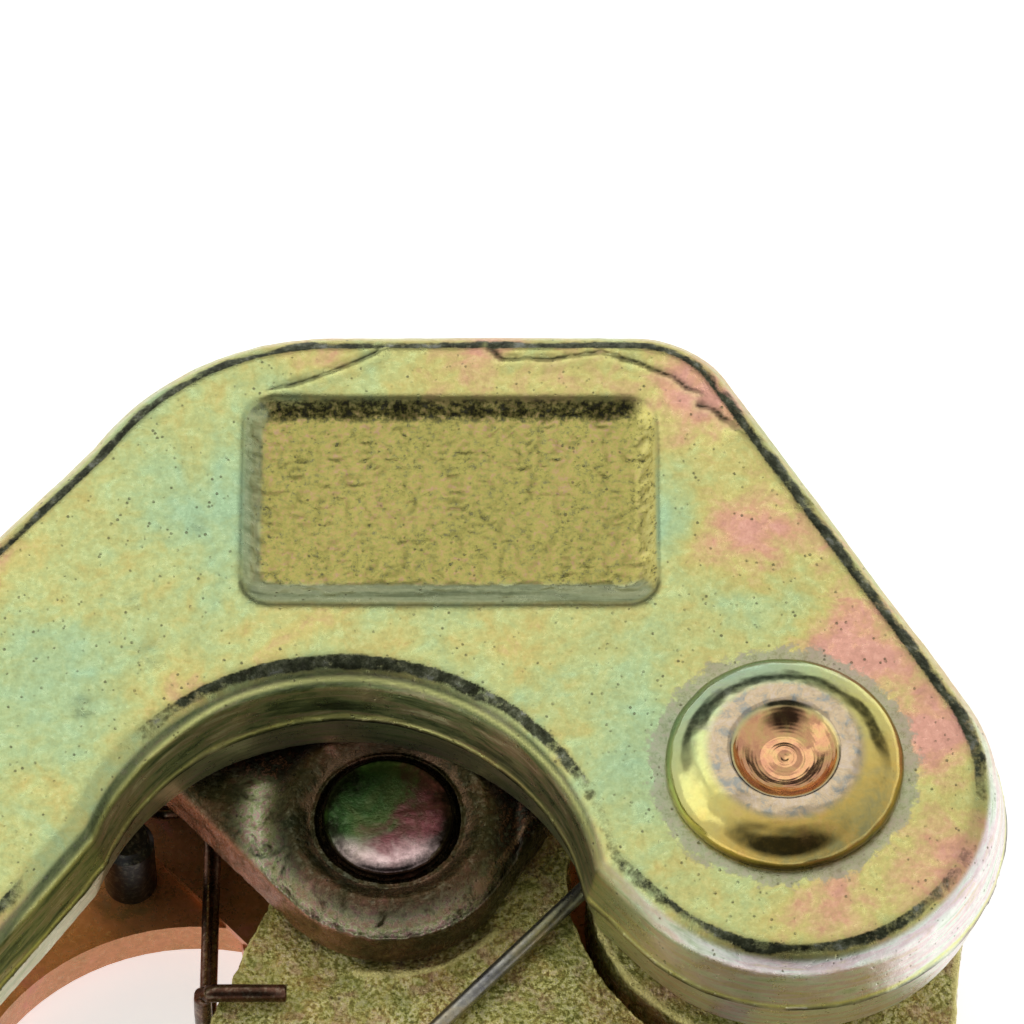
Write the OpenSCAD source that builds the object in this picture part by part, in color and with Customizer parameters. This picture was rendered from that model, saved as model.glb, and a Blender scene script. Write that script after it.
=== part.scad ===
// Come-along clamp: a self-tightening grip for wire rope.
// The pulling eye's centre is the origin, the rope lies along +X, the front faces +Z.

/* [Linkage] */
// From the pulling eye to the eye rivet, along the rope
eye_reach = 43; // [38:1:55]
// From the pulling eye to the lever's pivot, along the rope
pivot_x = 122.7; // [120:0.1:126]
// Height of the lever's pivot above the rope
pivot_y = 57.3; // [56:0.1:60]
// From the pivot pin to the main rivet
crank = 32.6; // [31.8:0.1:33.6]
// Angle of the crank with the jaws closed
crank_rest = -4; // [-6:0.5:-3]
// Angle that the lever turns through to open the jaws
lever_swing = 28; // [20:1:29]

/* [Lever] */
// Thickness of the lever forging
lever_t = 12; // [9:0.5:14]
// How far the sides bulge out to the parting line
draft = 1.8; // [1:0.1:2.2]
// Free width between the forging and the rear plate
lever_gap = 18.4; // [18.2:0.1:20]
// Radius of the forging's end round the main rivet
end_r = 15.8; // [14:0.1:16]
// Radius of the boss behind that end
boss_r = 14.2; // [13.8:0.1:16.8]
// Radius of the hollow curve under the forging
bay_r = 22.1; // [21:0.1:22.6]
// Half width of the left arm at its top
arm_r = 10.5; // [9:0.1:12]
// Radius of the eye end of the arm
arm_end_r = 15; // [13:0.1:17]
// Length of the sunk panel
panel_l = 35; // [25:1:37]
// Height of the sunk panel
panel_h = 20.6; // [14:0.2:21]
// Depth of the sunk panel
panel_depth = 1.3; // [0.6:0.1:2]
// Corner radius of the sunk panel
panel_r = 2.6; // [1.5:0.1:4]
// Thickness of the rear plate
plate_t = 4; // [3:0.1:5]
// Height of the bearing pad on the rear plate
pad_t = 0.8; // [0.5:0.1:1.2]
// Thickness of the front cheek
cheek_t = 5.3; // [4.5:0.1:5.6]
// Radius of the cheek's lobe round the pivot pin
lobe_r = 10.9; // [9.5:0.1:11]

/* [Pins] */
// Shank radius of the main rivet
rivet_r = 6.2; // [5:0.1:6.8]
// Head radius of the main rivet
rivet_head_r = 9.75; // [9:0.05:11]
// Height of the main rivet's head
rivet_head_h = 2.9; // [2.5:0.1:3.6]
// Shank radius of the pivot pin
pivot_r = 5; // [4:0.1:5.2]
// Head radius of the pivot pin
pivot_head_r = 5.5; // [5.4:0.05:5.8]
// Shank radius of the eye rivet
eye_rivet_r = 6.5; // [5:0.1:8]
// Radius of the guide link's pins
link_pin_r = 2.5; // [2:0.1:3]
// Thickness of the riveted tails under their washers
tail_t = 1.8; // [1.2:0.1:2.4]
// Thickness of the rivet washers
washer_t = 1; // [0.6:0.1:1.6]
// Radial clearance of a turning pin
run_fit = 0.08; // [0.03:0.01:0.1]
// Radial clearance of a fixed pin
seat_fit = 0.03; // [0.01:0.01:0.05]
// Gap between faces that slide past each other
face_gap = 0.3; // [0.2:0.05:0.4]

/* [Jaws] */
// Largest rope that the jaws take
rope_max = 16; // [12:0.5:16]
// Smallest rope that the jaws hold
rope_min = 2.5; // [2:0.1:3]
// Width of the jaws
jaw_w = 18; // [17:0.1:18]
// Length of the lower jaw
jaw_l = 89; // [86:1:96]
// Height of the upper jaw's bar
upper_jaw_h = 11.8; // [10:0.1:11.8]
// Height of the lower jaw's bar
lower_jaw_h = 6; // [5:0.1:8]
// Distance from tooth to tooth
tooth_pitch = 2.5; // [2:0.1:4]
// Depth of the teeth
tooth_depth = 0.5; // [0.3:0.05:0.8]
// Radius of the upper jaw's hub
hub_r = 16.3; // [14:0.1:16.4]

/* [Body] */
// Thickness of the shelf under the lower jaw
shelf_t = 9.8; // [8:0.1:14]
// Height of the block that carries the pivot
block_h = 8.3; // [7:0.1:8.3]
// Height of the rim round the cheek's lobe
rim_h = 0.6; // [0.5:0.1:1.5]
// Outer width of that rim from the lobe
rim_w = 1.5; // [1.2:0.1:2.6]

/* [Pulling link and keeper] */
// Inner radius of the pulling eye
eye_r = 15.5; // [12:0.1:17]
// Width of metal round the pulling eye
eye_band = 9.5; // [8:0.1:11]
// Thickness of the pulling link
link_t = 14; // [12:0.1:15]
// Length of the keeper from its pin to its tip
keeper_l = 22; // [20:0.5:26]
// Thickness of the keeper
keeper_t = 2.8; // [2:0.1:3.2]

/* [Springs] */
// Wire radius of the closing spring
close_wire_r = 0.75; // [0.6:0.01:0.75]
// Turns of the closing spring
close_turns = 4.5; // [2.5:1:4.5]
// Wire radius of the jaw spring
jaw_wire_r = 0.7; // [0.6:0.01:0.7]
// Turns of the jaw spring
jaw_turns = 2; // [1:1:2]

/* [Hidden] */
$fn = 96;
hull_fn = 32;
lever_fn = 72;
eps = 0.02;

// Colours
zinc = "#b9c089";
rough = "#8f8f4e";
plated = "#c08a52";
steel = "#9a9a92";
dark = "#2b2b2b";
wire_grey = "#6e6a60";

// Pivots, in the plane of the tool
pivot = [pivot_x, pivot_y];
rivet = pivot + crank * [cos(crank_rest), sin(crank_rest)];
eye_pin = [eye_reach, 0];
link_drop = [1, -13.5];
body_link = pivot + link_drop;
jaw_link = rivet + link_drop;

// Corner of the lever near the main rivet, that its outlines are drawn from
corner = pivot + [33.32, -2.33];
spring_seat = corner + [-52.3, 14.5];
stud_at = corner + [-55.6, 5.9];
stud_top_left = corner + [-43.5, 26.5];
stud_top_right = corner + [-16, 22];
spacers = [stud_top_left, stud_top_right];
bay = corner + [-37, -12.5];
panel_at = corner + [-28.2, 25.5];

// Levels through the thickness, from the front to the back
z_front = lever_gap / 2 + lever_t;
z_lever = lever_gap / 2;
z_cheek = z_lever - 0.9;
z_cheek_back = z_cheek - cheek_t;
z_body = z_cheek_back - face_gap;
z_plate = -lever_gap / 2;
z_pad = z_plate + pad_t;
z_body_back = z_pad + face_gap;
z_plate_back = z_plate - plate_t;
z_washer_back = z_plate_back - washer_t;
z_rest = z_washer_back - tail_t;
z_jaw = jaw_w / 2;
z_web = -z_jaw - face_gap;
link_gap = 0.3;
link_thick = 3.4;
z_link_back = z_body_back + 0.1;
z_link_front = z_link_back + link_thick;
z_pocket = z_link_front + link_gap;

// How far the opening lever lifts and draws back the main rivet
lift = crank * (sin(crank_rest + lever_swing) - sin(crank_rest));
draw_back = crank * (1 - cos(crank_rest + lever_swing));

// Heights across the tool; the rope's axis is at y = 0
jaw_gap = 0.4;
groove_r = rope_max / 2 + 0.2;
groove_depth = (rope_min - jaw_gap) / 2 - 0.05;
y_upper = jaw_gap / 2;
y_upper_top = y_upper + upper_jaw_h;
y_lower = -jaw_gap / 2;
y_shelf = y_lower - lower_jaw_h;
y_floor = y_shelf - shelf_t;
y_block = y_upper_top + lift + 0.7;
y_block_top = y_block + block_h;
jaw_left = corner[0] - 51;
jaw_right = jaw_left + jaw_l;
upper_left = jaw_left + draw_back + 0.6;
upper_right = jaw_right - 2.5;
keeper_at = [jaw_right - 14, y_shelf - shelf_t / 2];

// The body's sides: the right one is square, the left one leans
body_lean = 0.4286;
body_right = corner[0] - 8.3;
function body_left(y) = corner[0] - 43.6 - (corner[1] - 2.3 - y) * body_lean;

function bearing(angle) = [cos(angle), sin(angle)];
function unit(v) = v / norm(v);
function turn(a, b) = (b - a + 540) % 360 - 180;

// Points of a polygon whose corners [x, y, radius] are rounded off
function rounded(corners) = [for (i = [0:len(corners) - 1])
    let (count = len(corners),
        q = [corners[i][0], corners[i][1]],
        back = corners[(i + count - 1) % count],
        ahead = corners[(i + 1) % count],
        u = unit([back[0], back[1]] - q),
        v = unit([ahead[0], ahead[1]] - q),
        half = acos(u * v) / 2,
        r = corners[i][2],
        centre = q + unit(u + v) * r / sin(half),
        from_a = atan2((q + u * r / tan(half) - centre)[1], (q + u * r / tan(half) - centre)[0]),
        to_a = atan2((q + v * r / tan(half) - centre)[1], (q + v * r / tan(half) - centre)[0]),
        steps = r > 0 ? 6 : 0)
    each (r > 0
        ? [for (k = [0:steps]) centre + r * bearing(from_a + turn(from_a, to_a) * k / steps)]
        : [q])];

// Outline of a bar with round ends of two radii, as one ring of points
function strap_ring(a, ra, b, rb, steps = 20) =
    let (along = atan2(b[1] - a[1], b[0] - a[0]),
        lean = acos((ra - rb) / norm(b - a)))
    concat([for (k = [0:steps]) a + ra * bearing(along + lean + (360 - 2 * lean) * k / steps)],
        [for (k = [0:steps]) b + rb * bearing(along - lean + 2 * lean * k / steps)]);

module strap(a, ra, b, rb) {
    polygon(strap_ring(a, ra, b, rb));
}

// A plate between two levels
module slab(bottom, top) {
    translate([0, 0, bottom]) linear_extrude(top - bottom) children();
}

module post(at, r, bottom, top) {
    translate([at[0], at[1], bottom]) cylinder(r = r, h = top - bottom);
}

// A pin's riveted tail under its washer, with a bevelled end
module riveted_tail(at, shank_r, flare) {
    tail_r = shank_r + flare;
    bevel = 0.5;
    post(at, tail_r, z_rest + bevel, z_washer_back);
    translate([at[0], at[1], z_rest]) cylinder(r1 = tail_r - 0.8, r2 = tail_r, h = bevel);
    post(at, shank_r, z_washer_back - eps, z_plate_back + eps);
}

module washer(at, inner_r, outer_r, bottom, top) {
    difference() {
        post(at, outer_r, bottom, top);
        post(at, inner_r, bottom - 1, top + 1);
    }
}

// ---- Springs: a round wire swept along a path ----

// Path corners eased by a short bend
function eased(path, r) = [for (i = [0:len(path) - 1])
    each (i == 0 || i == len(path) - 1 ? [path[i]] :
        let (u = unit(path[i - 1] - path[i]), v = unit(path[i + 1] - path[i]))
        [path[i] + u * r, path[i] + (u + v) * r * 0.29, path[i] + v * r])];

function helix(at, r, start, turns, z_start, z_end, rings = 8) =
    [for (i = [0:round(abs(turns) * rings)])
        let (share = i / round(abs(turns) * rings))
        [at[0] + r * cos(start + 360 * turns * share),
            at[1] + r * sin(start + 360 * turns * share),
            z_start + (z_end - z_start) * share]];

function tangents(path) = [for (i = [0:len(path) - 1])
    unit(path[min(i + 1, len(path) - 1)] - path[max(i - 1, 0)])];
function across(side, along) = unit(side - (side * along) * along);
function sides_along(ts, seed) = [for (i = 0, s = across(seed, ts[0]); i < len(ts);
    i = i + 1, s = across(s, ts[min(i, len(ts) - 1)])) s];

// Least free distance between stretches of one wire that aren't neighbours
function least_gap(path, r, apart = 6) = min([for (i = [0:len(path) - 1 - apart])
    for (j = [i + apart:len(path) - 1]) norm(path[i] - path[j])]) - 2 * r;

module wire(path, r, seed = [0.3, 0.2, 1]) {
    sides = 6;
    ts = tangents(path);
    ss = sides_along(ts, seed);
    points = [for (i = [0:len(path) - 1]) for (k = [0:sides - 1])
        path[i] + r * (cos(360 * k / sides) * ss[i] + sin(360 * k / sides) * cross(ts[i], ss[i]))];
    last = (len(path) - 1) * sides;
    walls = [for (i = [0:len(path) - 2]) for (k = [0:sides - 1])
        let (a = i * sides + k, b = i * sides + (k + 1) % sides)
        each [[a, a + sides, b + sides], [a, b + sides, b]]];
    start_cap = [for (k = [1:sides - 2]) [0, k, k + 1]];
    end_cap = [for (k = [1:sides - 2]) [last, last + k + 1, last + k]];
    polyhedron(points, concat(start_cap, walls, end_cap));
}

// ---- Lever ----

// Pocket for the jaw spring's coil, behind the main rivet's boss
spring_pocket_r = 12.4;
spring_core_r = 8.6;
jaw_coil_r = 10.45;
leg_angle = 226.7;
leg_slot_w = 3;
z_boss = z_body + 1.2;
z_leg = z_body + face_gap + jaw_wire_r;
z_spring_pocket = z_lever + 0.6;

// Spacer studs and the seat of the pivot pin's head
stud_r = 5;
stud_spigot_r = 3;
stud_tail_r = 4.6;
stud_tail_t = 1.4;
stud_bite = 5;
ring_inner_r = 6.5;
ring_outer_r = 8.2;
pin_seat_depth = 1;

// Flare of the riveted tails and width of their washers
tail_flare = 2.4;
pivot_tail_flare = 2;
washer_band = 4;
pivot_washer_band = 3.4;

// The lever's outline is made of rounds: corner, corner, inner corner, end, arm, eye end
round_left = [corner + [-38, 18.6], 23];
round_right = [corner + [-12.5, 33.6], 8];
round_inner = [corner + [-20, 20], 16];
round_end = [corner + [0, -1.6], end_r];
round_arm = [corner + [-48.4, 25.3], arm_r];
round_eye = [eye_pin, arm_end_r];

// Forged section: growth of the outline at each level
lever_rings = [[z_lever, 0.6], [z_lever + lever_t / 2, draft], [z_front - 1.6, draft - 0.8],
    [z_front - 0.55, 0.1], [z_front - 0.2, -0.7], [z_front, -1.2]];

// Rounds joined into one forged limb
module forged(rounds) {
    hull()
        for (r = rounds)
            for (i = [0:len(lever_rings) - 2])
                translate([r[0][0], r[0][1], lever_rings[i][0]])
                    cylinder(r1 = r[1] + lever_rings[i][1], r2 = r[1] + lever_rings[i + 1][1],
                        h = lever_rings[i + 1][0] - lever_rings[i][0], $fn = lever_fn);
}

// The hollow curve under the lever, narrowest at the parting line
module bay_cut() {
    translate([bay[0], bay[1], 0]) rotate_extrude($fn = 120)
        polygon(concat([[0, z_lever - 1], [bay_r - 0.6, z_lever - 1]],
            [for (ring = lever_rings) [bay_r - ring[1], ring[0]]],
            [[bay_r + 1.2, z_front + 1], [0, z_front + 1]]));
}

// Sunk panel: steep at the top, with a long slope at the bottom
module panel_cut() {
    half = [panel_l / 2, panel_h / 2];
    slope = [1.6, 1.3, 2.8];
    floor_r = 1.4;
    translate([panel_at[0], panel_at[1], 0]) hull() {
        for (sx = [-1, 1])
            for (y = [half[1] - slope[1] - floor_r, floor_r + slope[2] - half[1]])
                translate([sx * (half[0] - slope[0] - floor_r), y, z_front - panel_depth])
                    cylinder(r = floor_r, h = eps, $fn = hull_fn);
        for (sx = [-1, 1])
            for (sy = [-1, 1])
                translate([sx * (half[0] - panel_r), sy * (half[1] - panel_r), z_front])
                    cylinder(r = panel_r, h = 1, $fn = hull_fn);
    }
}

module lever_forging() {
    color(zinc) difference() {
        union() {
            forged([round_left, round_right, round_inner]);
            forged([round_inner, round_right, round_end]);
            forged([round_arm, round_eye]);
            post(rivet, boss_r, z_boss, z_lever + 1);
        }
        bay_cut();
        panel_cut();
        post(rivet, rivet_r + seat_fit, z_boss - 1, z_front + 1);
        post(eye_pin, eye_rivet_r + seat_fit, z_lever - 1, z_front + 1);
        for (at = spacers)
            post(at, stud_spigot_r + seat_fit, z_lever - 1, z_lever + stud_bite);
        // Pocket for the jaw spring's coil, and the way out for its leg
        difference() {
            post(rivet, spring_pocket_r, z_boss - 1, z_spring_pocket);
            post(rivet, spring_core_r, z_boss - 2, z_spring_pocket + 1);
        }
        translate([rivet[0], rivet[1], 0]) rotate([0, 0, leg_angle])
            translate([0, -jaw_coil_r - leg_slot_w / 2, z_boss - 1]) cube([boss_r + 2, leg_slot_w, 2.6]);
    }
}

// Lobes of the outline that the cheek and the bearing pad share
cheek_lobes = [[pivot, lobe_r], [spring_seat, 5.4], [stud_top_left, 6], [stud_top_right, 6.4]];
cheek_bevel = 0.8;

module cheek_outline() {
    for (i = [0:len(cheek_lobes) - 1])
        let (from = cheek_lobes[i], to = cheek_lobes[(i + 1) % len(cheek_lobes)])
            strap(from[0], from[1], to[0], to[1]);
    polygon([for (lobe = cheek_lobes) lobe[0]]);
}

module front_cheek() {
    color(rough) difference() {
        union() {
            slab(z_cheek_back, z_cheek - 1) cheek_outline();
            // Bevelled front edge
            hull()
                for (lobe = cheek_lobes)
                    translate([lobe[0][0], lobe[0][1], z_cheek - 1])
                        cylinder(r1 = lobe[1], r2 = lobe[1] - cheek_bevel, h = 1, $fn = hull_fn);
            // Land that seats on the back of the forging
            slab(z_cheek - 1, z_lever) strap(stud_top_left, stud_r, stud_top_right, stud_r);
            // Raised ring round the pin's head
            translate([pivot[0], pivot[1], z_cheek]) rotate_extrude()
                polygon([[ring_inner_r - 0.4, -0.5], [ring_inner_r, 0.7], [ring_inner_r + 0.5, 0.8],
                    [ring_outer_r - 0.6, 0.6], [ring_outer_r, 0], [ring_outer_r, -0.5]]);
        }
        post(pivot, ring_inner_r - 0.4, z_cheek - pin_seat_depth, z_cheek + 2);
        post(pivot, pivot_r + seat_fit, z_cheek_back - 1, z_cheek + 1);
        post(spring_seat, spring_pin_end_r + seat_fit, z_cheek_back - 1, z_cheek + 1);
        for (at = spacers)
            post(at, stud_spigot_r + seat_fit, z_cheek_back - 1, z_lever + 1);
    }
}

// Rear plate: its own hollow curve, and its radii round the pins
plate_bay = corner + [-49.8, -18.5];
plate_bay_r = 20;
plate_bay_band = 9;
plate_left = [corner + [-44, 19], 18];
plate_arm = [corner + [-49.5, 27.8], 8.5];
plate_stud_r = 10;
plate_pivot_r = lobe_r + 2;
plate_end_r = end_r - 1.8;

module rear_plate_outline() {
    difference() {
        union() {
            strap(plate_left[0], plate_left[1], stud_top_right, plate_stud_r);
            strap(plate_left[0], plate_left[1], pivot, plate_pivot_r);
            strap(plate_arm[0], plate_arm[1], eye_pin, arm_end_r - 1);
            polygon([plate_left[0], stud_top_right, pivot]);
            // Metal over the plate's hollow curve, out to the middle of the arm
            intersection() {
                translate(plate_bay) circle(plate_bay_r + plate_bay_band);
                polygon([plate_bay, for (angle = [141, 110, 80]) plate_bay + 2 * crank * bearing(angle)]);
            }
        }
        translate(plate_bay) circle(plate_bay_r);
    }
    strap(stud_top_right, plate_stud_r, rivet, plate_end_r);
    strap(pivot, plate_pivot_r, rivet, plate_end_r);
    polygon([pivot, stud_top_right, rivet]);
}

module rear_lever_plate() {
    color(plated) difference() {
        union() {
            slab(z_plate_back, z_plate) rear_plate_outline();
            slab(z_plate - eps, z_pad) cheek_outline();
        }
        post(rivet, rivet_r + seat_fit, z_plate_back - 1, z_pad + 1);
        post(pivot, pivot_r + seat_fit, z_plate_back - 1, z_pad + 1);
        post(eye_pin, eye_rivet_r + seat_fit, z_plate_back - 1, z_pad + 1);
        post(spring_seat, spring_pin_end_r + seat_fit, z_plate_back - 1, z_pad + 1);
        post(stud_at, stop_tail_r + seat_fit, z_plate_back - 1, z_pad + 1);
        for (at = spacers)
            post(at, stud_spigot_r + seat_fit, z_plate_back - 1, z_pad + 1);
    }
}

// Domed rivet head with a flat round a dimple
module domed_head(at, shank_r, head_r, head_h) {
    flat_r = head_r * 0.62;
    dimple_r = head_r * 0.43;
    translate([at[0], at[1], z_front]) rotate_extrude()
        polygon([[0, -1], [shank_r, -1], [shank_r, 0], [head_r - 0.25, 0], [head_r, 0.3],
            [head_r - 0.1, 0.8], [head_r - 0.6, head_h * 0.5], [head_r - 1.5, head_h * 0.76],
            [head_r - 2.6, head_h * 0.93], [flat_r, head_h], [dimple_r + 0.5, head_h],
            [dimple_r, head_h - 0.25], [dimple_r * 0.7, head_h - 1.1], [dimple_r * 0.4, head_h - 1.5],
            [dimple_r * 0.25, head_h - 1.3], [0, head_h - 1.3]]);
}

module main_rivet() {
    color(zinc) {
        domed_head(rivet, rivet_r, rivet_head_r, rivet_head_h);
        post(rivet, rivet_r, z_plate_back, z_front - 1 + eps);
        riveted_tail(rivet, rivet_r, tail_flare);
    }
}

module main_rivet_washer() {
    color(plated) washer(rivet, rivet_r + seat_fit, rivet_r + washer_band, z_washer_back,
        z_plate_back);
}

module pivot_pin() {
    color(zinc) {
        translate([pivot[0], pivot[1], z_cheek - pin_seat_depth]) rotate_extrude()
            polygon([[0, 0], [pivot_head_r, 0], [pivot_head_r, 1.4], [pivot_head_r - 0.4, 1.8],
                [0, 1.8]]);
        post(pivot, pivot_r, z_plate_back, z_cheek - pin_seat_depth + eps);
        riveted_tail(pivot, pivot_r, pivot_tail_flare);
    }
}

module pivot_pin_washer() {
    color(plated) washer(pivot, pivot_r + seat_fit, pivot_r + pivot_washer_band, z_washer_back,
        z_plate_back);
}

spring_pin_r = 2.6;
spring_pin_end_r = 2.1;

module spring_pin() {
    color(steel) {
        post(spring_seat, spring_pin_end_r, z_plate_back, z_cheek);
        post(spring_seat, spring_pin_r, z_pad, z_cheek_back);
    }
}

stop_r = 2.25;
stop_tail_r = 1.8;
stop_l = 7.7;

module stop_stud() {
    color(dark) {
        post(stud_at, stop_tail_r, z_plate_back, z_plate + eps);
        translate([stud_at[0], stud_at[1], z_plate]) rotate_extrude()
            polygon([[0, 0], [stop_r, 0], [stop_r, stop_l - 0.9], [stop_r - 0.35, stop_l - 0.4],
                [stop_r - 0.5, stop_l], [0, stop_l]]);
    }
}

module spacer_studs() {
    color(steel)
        for (at = spacers) {
            post(at, stud_spigot_r, z_plate_back - eps, z_lever + stud_bite - 0.4);
            post(at, stud_r, z_pad, z_cheek_back);
            post(at, stud_tail_r, z_plate_back - stud_tail_t, z_plate_back);
        }
}

module eye_rivet() {
    color(zinc) {
        domed_head(eye_pin, eye_rivet_r, rivet_head_r, rivet_head_h);
        post(eye_pin, eye_rivet_r, z_plate_back, z_front - 1 + eps);
        riveted_tail(eye_pin, eye_rivet_r, tail_flare);
    }
}

module eye_rivet_washer() {
    color(plated) washer(eye_pin, eye_rivet_r + seat_fit, eye_rivet_r + washer_band, z_washer_back,
        z_plate_back);
}

eye_washer_r = 12;

// A washer on each side of the pulling link, with a sliding gap to it
module eye_washers() {
    inner_r = eye_rivet_r + seat_fit;
    slide = link_t / 2 + face_gap;
    color(steel) {
        washer(eye_pin, inner_r, eye_washer_r, slide, z_lever);
        washer(eye_pin, inner_r, eye_washer_r, z_plate, -slide);
    }
}

// ---- Springs ----

close_coil_r = spring_pin_r + 0.35 + close_wire_r;
hook_y = rivet[1] - 11.7;
left_edge_x = body_left(hook_y) - close_wire_r - face_gap;
z_close_top = z_cheek_back - close_wire_r - 0.5;
z_close_low = z_pad + close_wire_r + 0.5;
hook_leg = [
    [left_edge_x + 7, hook_y, z_body + face_gap + close_wire_r],
    [left_edge_x, hook_y, z_body + face_gap + close_wire_r],
    [left_edge_x, hook_y, z_close_low],
    [spring_seat[0] + close_coil_r, spring_seat[1], z_close_low]];
stud_side_x = stud_at[0] - stop_r - close_wire_r;
stud_leg = [
    [(spring_seat[0] - close_coil_r + stud_side_x) / 2, spring_seat[1] - 3.6, z_close_top - 1.4],
    [stud_side_x, stud_at[1] + 2.2, z_pad + 4.8],
    [stud_side_x, stud_at[1] - 0.6, z_pad + 4.2]];

closing_path = concat(
    eased(hook_leg, 1.2),
    [for (i = [1:round(close_turns * 8)])
        helix(spring_seat, close_coil_r, 0, close_turns, z_close_low, z_close_top)[i]],
    stud_leg);
echo(str("closing_spring least gap to itself ", least_gap(closing_path, close_wire_r)));

module closing_spring() {
    color(plated) wire(closing_path, close_wire_r);
}

leg_foot = rivet + jaw_coil_r * bearing(leg_angle - 90);
leg_end_y = y_block + 0.9;
leg_length = (leg_foot[1] - leg_end_y) / -sin(leg_angle);
leg_end = leg_foot + leg_length * bearing(leg_angle);
z_jaw_coil_top = z_spring_pocket - jaw_wire_r - 0.2;

jaw_path = concat(
    eased([[leg_end[0], leg_end[1], z_leg - 5.5], [leg_end[0], leg_end[1], z_leg],
        [leg_foot[0], leg_foot[1], z_leg]], 1.1),
    [for (i = [1:round(jaw_turns * 12)])
        helix(rivet, jaw_coil_r, leg_angle - 90, -jaw_turns, z_leg, z_jaw_coil_top, 12)[i]]);
echo(str("jaw_spring least gap to itself ", least_gap(jaw_path, jaw_wire_r)));

module jaw_spring() {
    color(wire_grey) wire(jaw_path, jaw_wire_r);
}

keeper_coil_r = 4.1;
keeper_wire_r = 0.5;
keeper_turns = 3;
z_keeper = z_jaw + 0.4;
z_keeper_top = z_keeper + keeper_t;
z_keeper_coil = z_keeper_top + 0.3 + keeper_wire_r;
z_keeper_coil_top = z_keeper_coil + keeper_turns * 1.45;
keeper_foot = [keeper_at[0] - 9, keeper_at[1] + 1];

keeper_path = concat(
    eased([[keeper_foot[0], keeper_foot[1], z_jaw - 3], [keeper_foot[0], keeper_foot[1], z_keeper_coil],
        [keeper_at[0] - keeper_coil_r, keeper_at[1] + 3, z_keeper_coil]], 0.8),
    [for (i = [0:keeper_turns * 8])
        helix(keeper_at, keeper_coil_r, 180, keeper_turns, z_keeper_coil, z_keeper_coil_top)[i]],
    [[keeper_at[0] - keeper_coil_r, keeper_at[1] - 4, z_keeper_coil_top]]);
echo(str("keeper_spring least gap to itself ", least_gap(keeper_path, keeper_wire_r)));

module keeper_spring() {
    color(wire_grey) wire(keeper_path, keeper_wire_r);
}

// ---- Body ----

jaw_pin_r = 2.5;
jaw_pin_inset = 16;
jaw_pins_x = [jaw_left + jaw_pin_inset, jaw_right - jaw_pin_inset];
link_r = 4.4;
link_pin_depth = 1.5;
// Directions between which the rim hugs the cheek's lobe
rim_from = 255;
rim_to = 322;

module body_front_outline() {
    difference() {
        union() {
            translate(pivot) circle(lobe_r - 0.4);
            intersection() {
                translate(pivot) circle(crank - hub_r - 0.7);
                translate(pivot + [-2, -20]) square([30, 30]);
            }
            polygon([pivot + [-9.8, 4], [body_left(pivot[1] - 4), pivot[1] - 4],
                [body_left(y_block_top - 1.5), y_block_top - 1.5], [jaw_left, y_block_top - 4],
                [jaw_left, y_block + 1], [jaw_left + 1, y_block], [body_right, y_block],
                [body_right, rivet[1] - 10], pivot + [16, -3], pivot]);
        }
        translate(rivet) circle(hub_r + 1);
    }
}

module link_sweep(at, from_angle, to_angle) {
    reach = crank + 8;
    clear_r = link_r + 0.5;
    strap(at, clear_r, at + reach * bearing(from_angle), clear_r);
    strap(at, clear_r, at + reach * bearing(to_angle), clear_r);
    polygon([at, at + reach * bearing(from_angle), at + reach * bearing(to_angle)]);
}

module body_casting() {
    color(rough) difference() {
        union() {
            slab(z_body_back, z_body) body_front_outline();
            // Block down to the back, and the web behind the jaws
            slab(z_rest, z_body_back + eps) polygon(rounded([
                [jaw_left, y_block, 0.5], [body_right, y_block, 0.5],
                [body_right, y_block_top, 2], [jaw_left, y_block_top, 3]]));
            slab(z_rest, z_web) polygon(rounded([
                [jaw_left, y_floor, 3], [jaw_right, y_floor, 3], [jaw_right, y_shelf + 14, 6],
                [rivet[0] + 14, y_block_top, 8], [jaw_left, y_block_top, 3]]));
            // Shelf that carries the lower jaw
            slab(z_rest, z_jaw) polygon(rounded([
                [jaw_left, y_floor, 3], [jaw_right, y_floor, 3], [jaw_right, y_shelf, 0.6],
                [jaw_left, y_shelf, 0.6]]));
            // Rim that hugs the cheek's lobe
            intersection() {
                difference() {
                    post(pivot, lobe_r + rim_w, z_body - 1, z_body + rim_h);
                    post(pivot, lobe_r + face_gap, z_body - 2, z_body + rim_h + 1);
                }
                slab(z_body - 2, z_body + rim_h + 1)
                    polygon([pivot, for (angle = [rim_from, (rim_from + rim_to) / 2, rim_to])
                        pivot + crank * bearing(angle)]);
            }
        }
        post(pivot, pivot_r + run_fit, z_rest - 1, z_body + 3);
        // Room for the guide link behind the hub
        slab(z_body_back - 1, z_pocket) link_sweep(body_link, crank_rest, crank_rest + lever_swing);
        post(body_link, link_pin_r + seat_fit, z_body_back - 1, z_body - link_pin_depth);
        // Notch for the jaw spring's hook
        translate([leg_end[0] - 1.4, y_block - 1, z_leg - 7]) cube([2.8, 3.1, 12]);
        for (x = jaw_pins_x)
            translate([x, y_floor - 1, 0]) rotate([-90, 0, 0])
                cylinder(r = jaw_pin_r + seat_fit, h = shelf_t + 2);
        post(keeper_at, keeper_pin_r + seat_fit, z_jaw - keeper_bite - 0.1, z_jaw + 1);
        post(keeper_foot, keeper_wire_r + 0.2, z_jaw - 4, z_jaw + 1);
    }
}

// Cutter of a toothed groove along the rope, bottoming at depth into a jaw's face
module tooth_cutter(from_x, to_x, centre_y) {
    teeth = floor((to_x - from_x + 4) / tooth_pitch);
    translate([from_x - 2, centre_y, 0]) rotate([0, 90, 0]) rotate_extrude($fn = 64)
        polygon(concat([[0, 0]],
            [for (i = [0:teeth - 1]) each [[groove_r - tooth_depth, i * tooth_pitch],
                [groove_r, (i + 0.5) * tooth_pitch]]],
            [[groove_r - tooth_depth, teeth * tooth_pitch], [0, teeth * tooth_pitch]]));
}

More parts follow.
